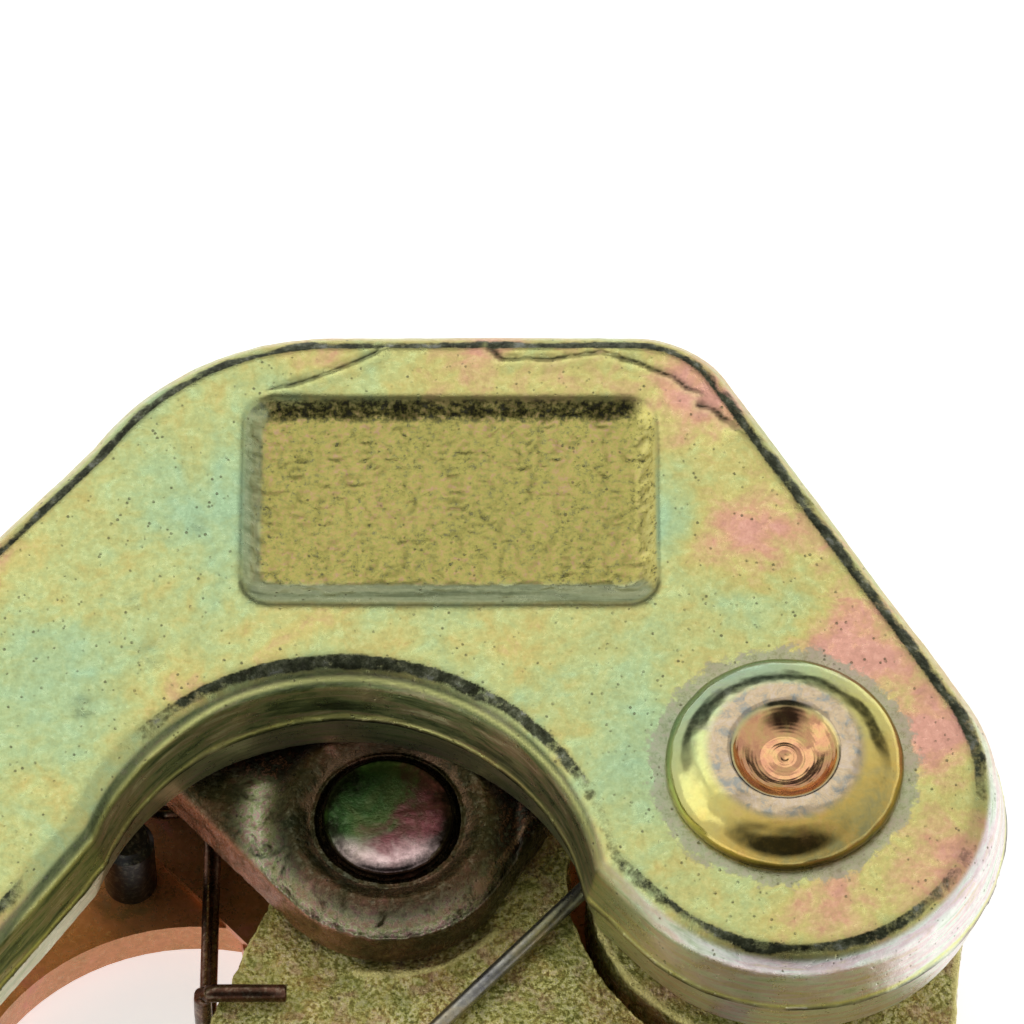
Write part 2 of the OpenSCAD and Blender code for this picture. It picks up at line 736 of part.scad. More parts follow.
module lower_jaw() {
    color(steel) difference() {
        slab(-z_jaw, z_jaw) polygon(rounded([
            [jaw_left, y_shelf, 0.4], [jaw_right, y_shelf, 0.4], [jaw_right, y_lower, 1.2],
            [jaw_left, y_lower, 1.2]]));
        tooth_cutter(jaw_left, jaw_right, y_lower - groove_depth + groove_r);
        for (x = jaw_pins_x)
            translate([x, y_shelf - 1, 0]) rotate([-90, 0, 0])
                cylinder(r = jaw_pin_r + seat_fit, h = lower_jaw_h - 1);
    }
}

module lower_jaw_pins() {
    color(steel)
        for (x = jaw_pins_x)
            translate([x, y_floor + 0.4, 0]) rotate([-90, 0, 0])
                cylinder(r = jaw_pin_r, h = shelf_t + lower_jaw_h - 2.8);
}

module body_link_pin() {
    color(steel) post(body_link, link_pin_r, z_link_back, z_body - link_pin_depth);
}

open_clear = 0.25;

module guide_link() {
    color(plated) difference() {
        slab(z_link_back, z_link_front) strap(body_link, link_r, jaw_link, link_r);
        post(body_link, link_pin_r + run_fit, z_link_back - 1, z_link_front + 1);
        post(jaw_link, link_pin_r + open_clear, z_link_back - 1, z_link_front + 1);
    }
}

// ---- Upper jaw ----

module upper_jaw() {
    color(rough) difference() {
        union() {
            post(rivet, hub_r, z_body_back, z_body);
            // Arm from the hub to the bar
            slab(z_body_back, z_body) polygon(rounded([
                [rivet[0] - 4, y_upper_top - 4, 0], [rivet[0] + 24, y_upper_top - 4, 0],
                [rivet[0] + 14.5, rivet[1] - 18, 16], [rivet[0] + hub_r - 0.4, rivet[1] + 1, 0],
                [rivet[0] - 4, rivet[1] - 4, 0]]));
            // Bar over the rope
            slab(-z_jaw, z_jaw) polygon(rounded([
                [upper_left, y_upper, 1.2], [upper_right, y_upper, 1.2],
                [upper_right, y_upper + 7, 2], [rivet[0] + 20, y_upper_top, 6],
                [upper_left + 3, y_upper_top, 3], [upper_left, y_upper_top - 4, 2]]));
        }
        tooth_cutter(upper_left, upper_right, y_upper + groove_depth - groove_r);
        post(rivet, rivet_r + run_fit, z_body_back - 1, z_body + 1);
        slab(z_body_back - 1, z_pocket)
            link_sweep(jaw_link, 180 + crank_rest, 180 + crank_rest + lever_swing);
        post(jaw_link, link_pin_r + seat_fit, z_body_back - 1, z_body - link_pin_depth);
    }
}

module jaw_link_pin() {
    color(steel) post(jaw_link, link_pin_r, z_link_back, z_body - link_pin_depth);
}

// ---- Pulling link ----

lug_r = 13;
lug_bevel = 2;
eye_bevel = 2.4;

module pulling_link() {
    outer_r = eye_r + eye_band;
    half = link_t / 2;
    color(zinc) difference() {
        union() {
            // Ring of the eye, with bevelled outer edges
            rotate_extrude() polygon([[eye_r - 1, -half], [outer_r - eye_bevel, -half],
                [outer_r - 0.8, eye_bevel * 0.6 - half], [outer_r, eye_bevel * 1.7 - half],
                [outer_r, half - eye_bevel * 1.7], [outer_r - 0.8, half - eye_bevel * 0.6],
                [outer_r - eye_bevel, half], [eye_r - 1, half]]);
            // Neck and lug
            hull()
                for (lobe = [[[0, 0], eye_r + 2], [eye_pin, lug_r]])
                    translate([lobe[0][0], lobe[0][1], 0])
                        for (side = [0, 1])
                            mirror([0, 0, side]) translate([0, 0, half - lug_bevel])
                                cylinder(r1 = lobe[1], r2 = lobe[1] - lug_bevel, h = lug_bevel, $fn = 48);
        }
        post([0, 0], eye_r, -link_t, link_t);
        post(eye_pin, eye_rivet_r + run_fit, -link_t, link_t);
    }
}

// ---- Keeper ----

keeper_pin_r = 3;
keeper_bite = 5.5;
keeper_r = 6.5;
keeper_tip = keeper_at + [0, keeper_l];

module wire_keeper() {
    color(plated) difference() {
        slab(z_keeper, z_keeper_top) strap(keeper_at, keeper_r, keeper_tip, keeper_r - 1.5);
        post(keeper_at, keeper_pin_r + run_fit, z_keeper - 1, z_keeper_top + 1);
    }
}

module keeper_pin() {
    color(steel) {
        post(keeper_at, keeper_pin_r, z_jaw - keeper_bite, z_keeper_coil_top + 0.9);
        translate([keeper_at[0], keeper_at[1], z_keeper_coil_top + 0.8])
            cylinder(r1 = 5.4, r2 = 4.6, h = 1.8);
    }
}

body_casting();
lower_jaw();
lower_jaw_pins();
body_link_pin();
lever_forging();
front_cheek();
rear_lever_plate();
main_rivet();
main_rivet_washer();
pivot_pin();
pivot_pin_washer();
spring_pin();
closing_spring();
jaw_spring();
stop_stud();
spacer_studs();
eye_rivet();
eye_rivet_washer();
eye_washers();
guide_link();
upper_jaw();
jaw_link_pin();
pulling_link();
wire_keeper();
keeper_pin();
keeper_spring();
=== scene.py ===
"""Come-along clamp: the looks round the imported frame, in metres."""
import math

import bmesh
import bpy
import numpy as np
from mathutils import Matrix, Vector, noise


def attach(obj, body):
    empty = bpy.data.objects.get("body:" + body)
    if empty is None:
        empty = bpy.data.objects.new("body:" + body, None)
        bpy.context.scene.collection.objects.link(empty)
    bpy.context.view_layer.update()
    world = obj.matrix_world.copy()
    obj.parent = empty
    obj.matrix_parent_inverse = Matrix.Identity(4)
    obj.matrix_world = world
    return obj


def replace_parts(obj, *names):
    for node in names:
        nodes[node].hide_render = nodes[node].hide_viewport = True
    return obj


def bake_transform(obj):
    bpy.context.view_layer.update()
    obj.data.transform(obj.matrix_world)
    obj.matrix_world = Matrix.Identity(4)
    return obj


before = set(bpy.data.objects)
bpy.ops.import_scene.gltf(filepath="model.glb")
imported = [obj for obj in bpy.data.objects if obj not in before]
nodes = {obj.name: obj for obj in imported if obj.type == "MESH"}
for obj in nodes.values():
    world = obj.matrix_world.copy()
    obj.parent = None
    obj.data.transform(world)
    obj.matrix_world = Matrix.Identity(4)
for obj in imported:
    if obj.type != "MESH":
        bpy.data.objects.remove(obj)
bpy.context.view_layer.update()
MM = 0.001

# ---- Places shared with the CAD, in millimetres ----
PIVOT = (122.7, 57.3)
RIVET = (155.2206, 55.0259)
EYE_PIN = (43.0, 0.0)
Z_FRONT = 21.2  # the lever's front face
Z_LEVER = 9.2  # the lever's back face
Z_CHEEK = 8.3  # the cheek's front face
Z_REST = -16.0  # the floor
Z_TAIL = -14.2  # the riveted tails' inner side
HEAD_RADIUS = 9.75
SHANK_RADIUS = 6.2
TAIL_RADIUS = 8.6
EYE_SHANK_RADIUS = 6.5
EYE_TAIL_RADIUS = 8.9
PIN_HEAD_RADIUS = 5.5
PIN_SHANK_RADIUS = 5.0
PIN_TAIL_RADIUS = 7.0
TAIL_BEVEL = 0.8
TAIL_BEVEL_HEIGHT = 0.5

# ---- Looks ----
EDGE_WEAR = 0.75  # how far a worn edge takes its own colour
PIT_SPACING = 0.62  # mm
WORLD_LEVEL = 0.85
WORLD_DARK = 0.04
ROOM_DARK_WAY = (0, -0.62, 0.78)  # towards the dark room behind the camera
GAP_DARK = 0.08
FLOOR_HALF = 3.0  # metres
FLOOR_GLOW = 0.62
LAMP_AIM = (133, 55, 10)  # mm

# ---- Camera, first, at the photograph's angle ----
TARGET = Vector((133.0, 79.3, Z_FRONT)) * MM
VIEW_ELEVATION = math.radians(58.6)
VIEW_DISTANCE = 0.62
VIEW_WIDTH = 0.0853

camera_data = bpy.data.cameras.new("camera")
camera_data.sensor_fit = "HORIZONTAL"
camera_data.angle = 2 * math.atan(VIEW_WIDTH / 2 / VIEW_DISTANCE)
camera_data.clip_start = 0.01
camera_data.clip_end = 10
camera = bpy.data.objects.new("camera", camera_data)
bpy.context.scene.collection.objects.link(camera)
view_way = Vector((0, -math.cos(VIEW_ELEVATION), math.sin(VIEW_ELEVATION)))
camera.location = TARGET + view_way * VIEW_DISTANCE
camera.rotation_euler = (-view_way).to_track_quat("-Z", "Y").to_euler()
bpy.context.scene.camera = camera


# ---- Node helpers ----
class Finish:
    """Builds one node material. Each call adds a node and gives the socket that it feeds."""

    def __init__(self, name):
        self.material = bpy.data.materials.new(name)
        self.material.use_nodes = True
        self.tree = self.material.node_tree
        self.tree.nodes.clear()
        self.out = self.tree.nodes.new("ShaderNodeOutputMaterial")
        self.shader = self.tree.nodes.new("ShaderNodeBsdfPrincipled")
        self.join(self.shader.outputs[0], self.out.inputs["Surface"])
        self.coords = self.tree.nodes.new("ShaderNodeTexCoord").outputs["Object"]

    def join(self, source, socket):
        if hasattr(source, "is_linked"):
            self.tree.links.new(source, socket)
        elif socket.type == "RGBA":
            socket.default_value = (*source, 1) if len(source) == 3 else source
        else:
            socket.default_value = source

    def set(self, name, value):
        self.join(value, self.shader.inputs[name])

    def noise(self, size_mm, detail=4, rough=0.55, stretch=(1, 1, 1), distortion=0.0, seed=0.0):
        mapping = self.tree.nodes.new("ShaderNodeMapping")
        mapping.inputs["Scale"].default_value = [s / (size_mm * MM) for s in stretch]
        mapping.inputs["Location"].default_value = (seed, seed * 0.7, -seed)
        self.join(self.coords, mapping.inputs["Vector"])
        node = self.tree.nodes.new("ShaderNodeTexNoise")
        node.inputs["Scale"].default_value = 1
        node.inputs["Detail"].default_value = detail
        node.inputs["Roughness"].default_value = rough
        node.inputs["Distortion"].default_value = distortion
        self.join(mapping.outputs[0], node.inputs["Vector"])
        return node.outputs["Fac"]

    def cells(self, size_mm, seed=0.0):
        mapping = self.tree.nodes.new("ShaderNodeMapping")
        mapping.inputs["Scale"].default_value = [1 / (size_mm * MM)] * 3
        mapping.inputs["Location"].default_value = (seed, -seed, seed * 0.3)
        self.join(self.coords, mapping.inputs["Vector"])
        node = self.tree.nodes.new("ShaderNodeTexVoronoi")
        node.inputs["Scale"].default_value = 1
        self.join(mapping.outputs[0], node.inputs["Vector"])
        return node.outputs["Distance"]

    def ramp(self, source, stops):
        node = self.tree.nodes.new("ShaderNodeValToRGB")
        ramp = node.color_ramp
        while len(ramp.elements) > 1:
            ramp.elements.remove(ramp.elements[-1])
        ramp.elements[0].position = stops[0][0]
        ramp.elements[0].color = as_rgba(stops[0][1])
        for place, value in stops[1:]:
            ramp.elements.new(place).color = as_rgba(value)
        self.join(source, node.inputs["Fac"])
        return node.outputs["Color"]

    def mix(self, share, a, b):
        node = self.tree.nodes.new("ShaderNodeMix")
        node.data_type = "RGBA"
        node.clamp_factor = True
        self.join(share, node.inputs[0])
        self.join(as_rgba(a), node.inputs[6])
        self.join(as_rgba(b), node.inputs[7])
        return node.outputs[2]

    def sum(self, way, a, b):
        node = self.tree.nodes.new("ShaderNodeMath")
        node.operation = way
        self.join(a, node.inputs[0])
        self.join(b, node.inputs[1])
        return node.outputs[0]

    def span(self, source, low, high, to_low=0.0, to_high=1.0):
        node = self.tree.nodes.new("ShaderNodeMapRange")
        for socket, value in zip(list(node.inputs)[1:5], (low, high, to_low, to_high)):
            socket.default_value = value
        self.join(source, node.inputs[0])
        return node.outputs[0]

    def attribute(self, name):
        node = self.tree.nodes.new("ShaderNodeAttribute")
        node.attribute_name = name
        return node.outputs["Fac"]

    def bump(self, height, depth_mm):
        node = self.tree.nodes.new("ShaderNodeBump")
        node.inputs["Strength"].default_value = 1
        node.inputs["Distance"].default_value = depth_mm * MM
        self.join(height, node.inputs["Height"])
        return node.outputs[0]


def as_rgba(value):
    """A colour written as sRGB hex, or a grey number, in linear light."""
    if isinstance(value, (int, float)):
        return (value, value, value, 1)
    if not isinstance(value, str):
        return value
    parts = [int(value[i:i + 2], 16) / 255 for i in (1, 3, 5)]
    return (*[c / 12.92 if c <= 0.04045 else ((c + 0.055) / 1.055) ** 2.4 for c in parts], 1)


def zinc_finish(name, tones, grime, worn, roughness, grain_mm, patch_mm=11, metal=0.9, pits=0.5,
                speckle=0.16, lean=None, paint=None, seed=0.0):
    """Yellow zinc plating over steel: slow drifts of hue, a fine pebbled skin, pits and worn edges."""
    f = Finish(name)
    slow = f.noise(patch_mm, 4, 0.55, distortion=0.9, seed=seed)
    f.mid = f.noise(patch_mm / 5, 5, 0.65, distortion=0.5, seed=seed + 3.1)
    f.fine = f.noise(0.5, 4, 0.7, seed=seed + 5)
    drift = f.sum("ADD", f.sum("MULTIPLY", slow, 0.6), f.sum("MULTIPLY", f.mid, 0.4))
    if lean is not None:
        drift = f.sum("ADD", f.span(drift, 0.0, 1.0, 0.17, 0.83), lean(f))
    colour = f.ramp(f.span(drift, 0.34, 0.68), tones)
    if paint is not None:
        colour = paint(f, colour)
    colour = f.mix(f.span(f.fine, 0.45, 0.8, 0.0, speckle * 2), colour, grime)
    colour = f.mix(f.span(f.fine, 0.5, 0.25, 0.0, speckle), colour, "#f2f0cf")
    cell = f.span(f.cells(PIT_SPACING, seed=seed), 0.12, 0.24, 1.0, 0.0)
    sparse = f.span(f.noise(1.4, 3, 0.7, seed=seed + 9), 0.5, 0.62)
    pit = f.sum("MULTIPLY", f.sum("MULTIPLY", cell, sparse), pits)
    colour = f.mix(pit, colour, grime)
    broken = f.span(f.sum("ADD", f.mid, f.sum("MULTIPLY", f.fine, 0.6)), 0.55, 0.95, -0.25, 0.25)
    rubbed = f.span(f.sum("ADD", f.attribute("edge"), broken), 0.35, 0.75)
    colour = f.mix(f.sum("MULTIPLY", rubbed, EDGE_WEAR), colour, worn)
    # Darker in the hollows
    darker_in_hollows = f.span(f.sum("ADD", f.attribute("hollow"), broken), 0.35, 0.9)
    colour = f.mix(darker_in_hollows, colour, grime)
    f.set("Base Color", colour)
    f.set("Metallic", metal)
    f.set("Roughness", f.span(f.sum("ADD", f.fine, f.mid), 0.7, 1.3, roughness - 0.07, roughness + 0.12))
    grain = f.noise(0.22, 3, 0.7, seed=seed)
    height = f.sum("ADD", f.sum("MULTIPLY", f.fine, 0.65), f.sum("MULTIPLY", grain, 0.35))
    height = f.sum("SUBTRACT", height, f.sum("MULTIPLY", pit, 0.8))
    f.set("Normal", f.bump(height, grain_mm))
    return f.material


def forging_lean(f):
    """Pinker and greener zones of the plating."""
    return f.span(f.attribute("blush"), 0.0, 1.0, -0.25, 0.25)


def forging_paint(f, colour):
    """Walls with painted shade and a painted pale reflection, the flash line and its painted highlight, a
    painted dark band along the corner, and the grainy sunk panel with painted shade and painted light on
    its walls.
    """
    streak = f.noise(0.7, 4, 0.6, stretch=(0.12, 0.12, 1), distortion=0.3, seed=21)
    light_wall = f.ramp(streak, [(0.3, "#8c9a6c"), (0.45, "#c6cc98"), (0.55, "#d2b48c"), (0.7, "#c2b47c")])
    # Painted shade: the walls of the bay and under the arm, darker still on the upper draft
    dark_wall = f.ramp(streak, [(0.3, "#434f31"), (0.42, "#6f7f52"), (0.5, "#98a26e"),
                                (0.58, "#aea27a"), (0.7, "#d8d8a6")])
    smooth_wall = f.ramp(streak, [(0.35, "#a4ac78"), (0.5, "#c6ca98"), (0.65, "#d2c6a4")])
    shaded_upper_wall = f.ramp(f.fine, [(0.4, "#2e3320"), (0.6, "#5c6644")])
    dark_wall = f.mix(f.attribute("high_wall"), dark_wall, shaded_upper_wall)
    dark_wall = f.mix(f.attribute("low_wall"), dark_wall, smooth_wall)
    # Painted reflection: pale walls round the end
    pale_reflection_wall = f.ramp(streak, [(0.3, "#ccdcc0"), (0.44, "#f0f4ea"), (0.55, "#f0dcde"), (0.7, "#e4dcb4")])
    light_wall = f.mix(f.attribute("pale_reflection"), f.mix(0.45, colour, light_wall), pale_reflection_wall)
    wall = f.mix(f.attribute("bay"), light_wall, dark_wall)
    colour = f.mix(f.attribute("wall"), colour, wall)
    grit = f.sum("ADD", f.sum("MULTIPLY", f.fine, 0.7), f.sum("MULTIPLY", f.mid, 0.3))
    grit = f.sum("ADD", grit, f.span(f.noise(9, 3, 0.6, seed=64), 0.3, 0.7, -0.025, 0.025))
    floor_tone = f.ramp(grit, [(0.34, "#5c582c"), (0.43, "#918c48"), (0.5, "#aaa356"),
                               (0.57, "#bba664"), (0.64, "#c8a680")])
    colour = f.mix(f.attribute("panel"), colour, floor_tone)
    # Painted shade on the panel's top wall
    shaded_top_wall = f.ramp(f.fine, [(0.38, "#2b2912"), (0.47, "#55522a"), (0.54, "#8b8848"), (0.64, "#c2a870")])
    shade = f.span(f.sum("ADD", f.attribute("panel_top"), f.span(f.fine, 0.3, 0.7, 0.3, -0.3)), 0.3, 1.1)
    colour = f.mix(shade, colour, shaded_top_wall)
    # Painted highlight on the panel's right wall
    lit_right_wall = f.ramp(f.fine, [(0.36, "#6d6a34"), (0.46, "#d2c66e"), (0.6, "#e9e08c")])
    colour = f.mix(f.attribute("panel_right"), colour, lit_right_wall)
    # Painted light: the panel's bottom and left slopes lighter, as they face the light
    ribbed = f.noise(0.9, 3, 0.6, stretch=(0.08, 1, 1), seed=61)
    lit_low_slope = f.ramp(ribbed, [(0.35, "#7f8a64"), (0.5, "#a9b48a"), (0.65, "#bcc296")])
    colour = f.mix(f.attribute("panel_low"), colour, lit_low_slope)
    ragged = f.span(f.sum("ADD", f.mid, f.sum("MULTIPLY", f.fine, 0.5)), 0.55, 0.9, -0.3, 0.3)
    # Painted shade: a dark band along the corner between the face and the walls
    corner = f.span(f.sum("ADD", f.attribute("corner"), ragged), 0.4, 0.9)
    corner_shade = f.ramp(f.noise(1.6, 5, 0.7, seed=51),
                  [(0.36, "#232617"), (0.48, "#3d4230"), (0.57, "#62664e"), (0.65, "#8b8e82")])
    colour = f.mix(corner, colour, corner_shade)
    # A greyer ring on the face round the rivet head
    halo = f.span(f.sum("ADD", f.attribute("halo"), ragged), 0.42, 0.62, 0.0, 0.8)
    grey_ring_tone = f.ramp(f.fine, [(0.36, "#6f7658"), (0.5, "#9fa287"), (0.64, "#b3ab98")])
    colour = f.mix(halo, colour, grey_ring_tone)
    # Painted highlight lines
    colour = f.mix(f.attribute("glint"), colour, "#eef09a")
    colour = f.mix(f.attribute("flash"), colour, "#14160c")
    # Dark laps, and the painted shade line along the panel's lower rim
    return f.mix(f.attribute("lap"), colour, "#2e321c")


def rivet_paint(f, colour):
    """A painted reflection, its hue drifting over the dome; the flat is scuffed grey, the dimple pink."""
    reflection_hue = f.span(f.sum("ADD", f.attribute("reflection_tint"), f.sum("MULTIPLY", f.mid, 0.3)), 0.0, 1.3)
    # Painted reflection: pale blue-green towards the top left, dark gold towards the bottom right
    dome = f.ramp(reflection_hue, [(0.1, "#7d6a3e"), (0.3, "#cfae5a"), (0.5, "#d8cf7c"), (0.68, "#bccb92"),
                        (0.85, "#a3c3ae")])
    colour = f.mix(0.8, colour, dome)
    scuff = f.ramp(f.mid, [(0.36, "#8a8a82"), (0.5, "#b39f80"), (0.62, "#b8a894")])
    colour = f.mix(f.attribute("flat"), colour, scuff)
    cup = f.ramp(f.mid, [(0.3, "#b98068"), (0.5, "#d3a074"), (0.7, "#cfb273")])
    return f.mix(f.attribute("cup"), colour, cup)


def casting_paint(f, colour):
    """Bright grains over dark hollows: painted glints and painted shade at random over the skin."""
    grains = f.noise(0.38, 3, 0.6, seed=71)
    grain = f.ramp(grains, [(0.4, "#3b3814"), (0.47, "#9c974c"), (0.53, "#f0ed98"), (0.62, "#fff4c8")])
    sooty = f.span(f.noise(3.4, 3, 0.6, seed=75), 0.5, 0.4, 0.0, 0.3)
    colour = f.mix(sooty, colour, "#3a3a18")
    blush = f.span(f.noise(2.4, 3, 0.6, seed=73), 0.54, 0.66, 0.0, 0.5)
    colour = f.mix(f.sum("SUBTRACT", 0.65, sooty), colour, grain)
    return f.mix(blush, colour, f.mix(grains, "#9c6248", "#ffd0b4"))


def cheek_paint(f, colour):
    """A painted pink and green highlight on the slope below the ring, painted shade above it, and pinkish
    sides made lighter by painted light.
    """
    shade_tone = f.ramp(f.fine, [(0.4, "#0e0a05"), (0.52, "#2b1d12"), (0.64, "#7c5640")])
    colour = f.mix(f.attribute("shade"), colour, shade_tone)
    # Painted light on the sides
    side = f.ramp(f.mid, [(0.36, "#7a5c40"), (0.5, "#a8785e"), (0.64, "#b98a78")])
    colour = f.mix(f.attribute("side"), colour, side)
    highlight_tone = f.ramp(f.fine, [(0.38, "#a9ba7c"), (0.5, "#eef0c8"), (0.6, "#ffd2ce")])
    painted_highlight = f.sum("MULTIPLY", f.attribute("painted_highlight"), f.span(f.mid, 0.34, 0.5))
    return f.mix(painted_highlight, colour, highlight_tone)


def pin_paint(f, colour):
    """A painted reflection: dark green at the left, dark red at the right, pale pink at the bottom."""
    reflection_hue = f.sum("ADD", f.attribute("reflection_tint"), f.span(f.mid, 0.3, 0.7, -0.18, 0.18))
    colour = f.ramp(reflection_hue, [(0.1, "#1e1410"), (0.28, "#6b3e40"), (0.42, "#513a30"), (0.55, "#47542f"),
                          (0.75, "#36502a"), (0.92, "#17200f")])
    return f.mix(f.sum("MULTIPLY", f.attribute("pale_reflection"), f.span(f.mid, 0.3, 0.6)), colour, "#dcc0bc")


TONES_FORGING = [(0.0, "#a2bf94"), (0.25, "#aec18a"), (0.45, "#bcc17e"), (0.62, "#c8bd74"),
                 (0.76, "#cfb27c"), (0.88, "#d6a482"), (1.0, "#d8a08c")]
TONES_CASTING = [(0.0, "#9aa850"), (0.25, "#bcbe58"), (0.5, "#dcd068"), (0.7, "#f0c86c"),
                 (0.86, "#eab080"), (1.0, "#e09c8c")]
TONES_CHEEK = [(0.0, "#2a2e18"), (0.35, "#463d22"), (0.65, "#644832"), (1.0, "#a87668")]
TONES_PLATE = [(0.0, "#b08c4c"), (0.3, "#d8945c"), (0.6, "#e69a68"), (0.85, "#ee9480"), (1.0, "#e08c92")]
TONES_STEEL = [(0.0, "#85857e"), (0.5, "#a19f94"), (1.0, "#b3aa92")]
TONES_RIVET = [(0.0, "#9cc7a6"), (0.3, "#c2cf8c"), (0.55, "#dcc46c"), (0.8, "#dd9f7c"), (1.0, "#cc7f90")]
TONES_PIN = [(0.0, "#30452a"), (0.35, "#4f5c36"), (0.55, "#6d6046"), (0.75, "#875f5e"), (1.0, "#a08488")]
TONES_WIRE = [(0.0, "#3d2c20"), (0.5, "#5a3d2e"), (1.0, "#7c5a4a")]
TONES_GREY_WIRE = [(0.0, "#77777a"), (0.5, "#9a978c"), (1.0, "#b8a884")]
TONES_BLACK = [(0.0, "#101010"), (0.6, "#1d1d1d"), (1.0, "#34312e")]

forging_finish = zinc_finish("forging", TONES_FORGING, "#6c6a4c", "#6c7048", 0.3, 0.045,
                             speckle=0.1, pits=0.8, lean=forging_lean, paint=forging_paint)
link_finish = zinc_finish("link", TONES_FORGING, "#5b5a33", "#3c4026", 0.33, 0.035, speckle=0.1,
                          seed=22.0)
rivet_finish = zinc_finish("rivet", TONES_RIVET, "#6b5230", "#57592f", 0.13, 0.006, patch_mm=7,
                           speckle=0.04, metal=1.0, pits=0.2, paint=rivet_paint, seed=2.0)
pin_finish = zinc_finish("pin", TONES_PIN, "#20210f", "#1c1c12", 0.2, 0.035, patch_mm=13,
                         speckle=0.05, metal=1.0, pits=0.2, paint=pin_paint, seed=3.0)
casting_finish = zinc_finish("casting", TONES_CASTING, "#23240f", "#f6ea98", 0.22, 0.3, patch_mm=7,
                             metal=0.6, speckle=0.18, paint=casting_paint, seed=4.0)
cheek_finish = zinc_finish("cheek", TONES_CHEEK, "#15140b", "#96785e", 0.22, 0.2, patch_mm=8,
                           metal=0.85, paint=cheek_paint, seed=6.0)
plate_finish = zinc_finish("plate", TONES_PLATE, "#3d2f1c", "#e2b684", 0.27, 0.012, patch_mm=10,
                           metal=0.6, pits=0.25, seed=8.0)
steel_finish = zinc_finish("steel", TONES_STEEL, "#4c4a42", "#cfcabc", 0.32, 0.02, pits=0.3,
                           seed=10.0)
wire_finish = zinc_finish("wire", TONES_WIRE, "#1c130d", "#8f7866", 0.25, 0.012, patch_mm=5,
                          seed=12.0)
grey_wire_finish = zinc_finish("grey_wire", TONES_GREY_WIRE, "#2c2a25", "#a09a8a", 0.28, 0.012,
                               patch_mm=5, seed=14.0)
black_finish = zinc_finish("black", TONES_BLACK, "#080808", "#5c5a56", 0.36, 0.015, patch_mm=5,
                           metal=0.6, seed=16.0)


# ---- Mesh helpers ----
# How far in mm an edge stands out before it counts as worn, and how much more makes it fully worn
EDGE_LEAST = 0.03
TURNED_LEAST = 0.02
TURNED_OVER = 0.1
REMESH_WELD = 2e-6  # metres
WIRE_TIP = 0.8  # a wire's tip and its length, as shares of the wire's radius
WIRE_TIP_LENGTH = 0.25


def put(name, mesh, finish, body):
    """Shows a mesh as a piece. A piece without a body is attached to none."""
    piece = bpy.data.objects.new(name, mesh)
    bpy.context.scene.collection.objects.link(piece)
    mesh.materials.clear()
    mesh.materials.append(finish)
    mesh.polygons.foreach_set("use_smooth", [True] * len(mesh.polygons))
    if body is not None:
        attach(piece, body)
    return piece


def apply_modifier(obj, kind, **settings):
    """Replaces an object's mesh by what a modifier makes of it."""
    modifier = obj.modifiers.new("shape", kind)
    for key, value in settings.items():
        setattr(modifier, key, value)
    graph = bpy.context.evaluated_depsgraph_get()
    mesh = bpy.data.meshes.new_from_object(obj.evaluated_get(graph))
    obj.modifiers.clear()
    obj.data = mesh


def read_points(mesh):
    """The points of a mesh in metres, one to a row."""
    points = np.empty(len(mesh.vertices) * 3, np.float64)
    mesh.vertices.foreach_get("co", points)
    return points.reshape(-1, 3)


def read_edges(mesh):
    """The two point numbers of each edge."""
    edges = np.empty(len(mesh.edges) * 2, np.int64)
    mesh.edges.foreach_get("vertices", edges)
    return edges.reshape(-1, 2)


def relax(points, edges, rounds):
    """Moves each point towards the middle of its neighbours."""
    count = np.bincount(edges.ravel(), minlength=len(points))[:, None]
    for _ in range(rounds):
        total = np.zeros_like(points)
        np.add.at(total, edges[:, 0], points[edges[:, 1]])
        np.add.at(total, edges[:, 1], points[edges[:, 0]])
        points = points + 0.5 * (total / np.maximum(count, 1) - points)
    return points


def set_attribute(mesh, name, values):
    """Stores a number from 0 to 1 at each point, for the finish to read."""
    layer = mesh.attributes.get(name) or mesh.attributes.new(name, "FLOAT", "POINT")
    layer.data.foreach_set("value", np.clip(values, 0, 1).astype(np.float32))


def rough_field(points, size_mm, octaves=3, seed=0.0):
    """Smooth noise at each point, about -1 to 1."""
    shift = Vector((seed, seed * 1.7, -seed))
    scale = 1 / (size_mm * MM)
    return np.array([noise.fractal(Vector(p) * scale + shift, 0.9, 2.1, octaves) for p in points])


def normals_of(mesh):
    """The unit normal at each point."""
    out = np.empty(len(mesh.vertices) * 3, np.float64)
    mesh.vertices.foreach_get("normal", out)
    return out.reshape(-1, 3)


def curvature(points, edges, normals, rounds):
    """How far each point stands out from the form round it, in millimetres."""
    soft = relax(points, edges, rounds)
    return ((points - soft) * normals).sum(1) / MM


def mark_wear(mesh, rise, least, edge_over, hollow_over):
    """Marks what stands out as a worn edge, and what lies in as a hollow, which the finish darkens."""
    set_attribute(mesh, "edge", (rise - least) / edge_over)
    set_attribute(mesh, "hollow", (-rise - least) / hollow_over)


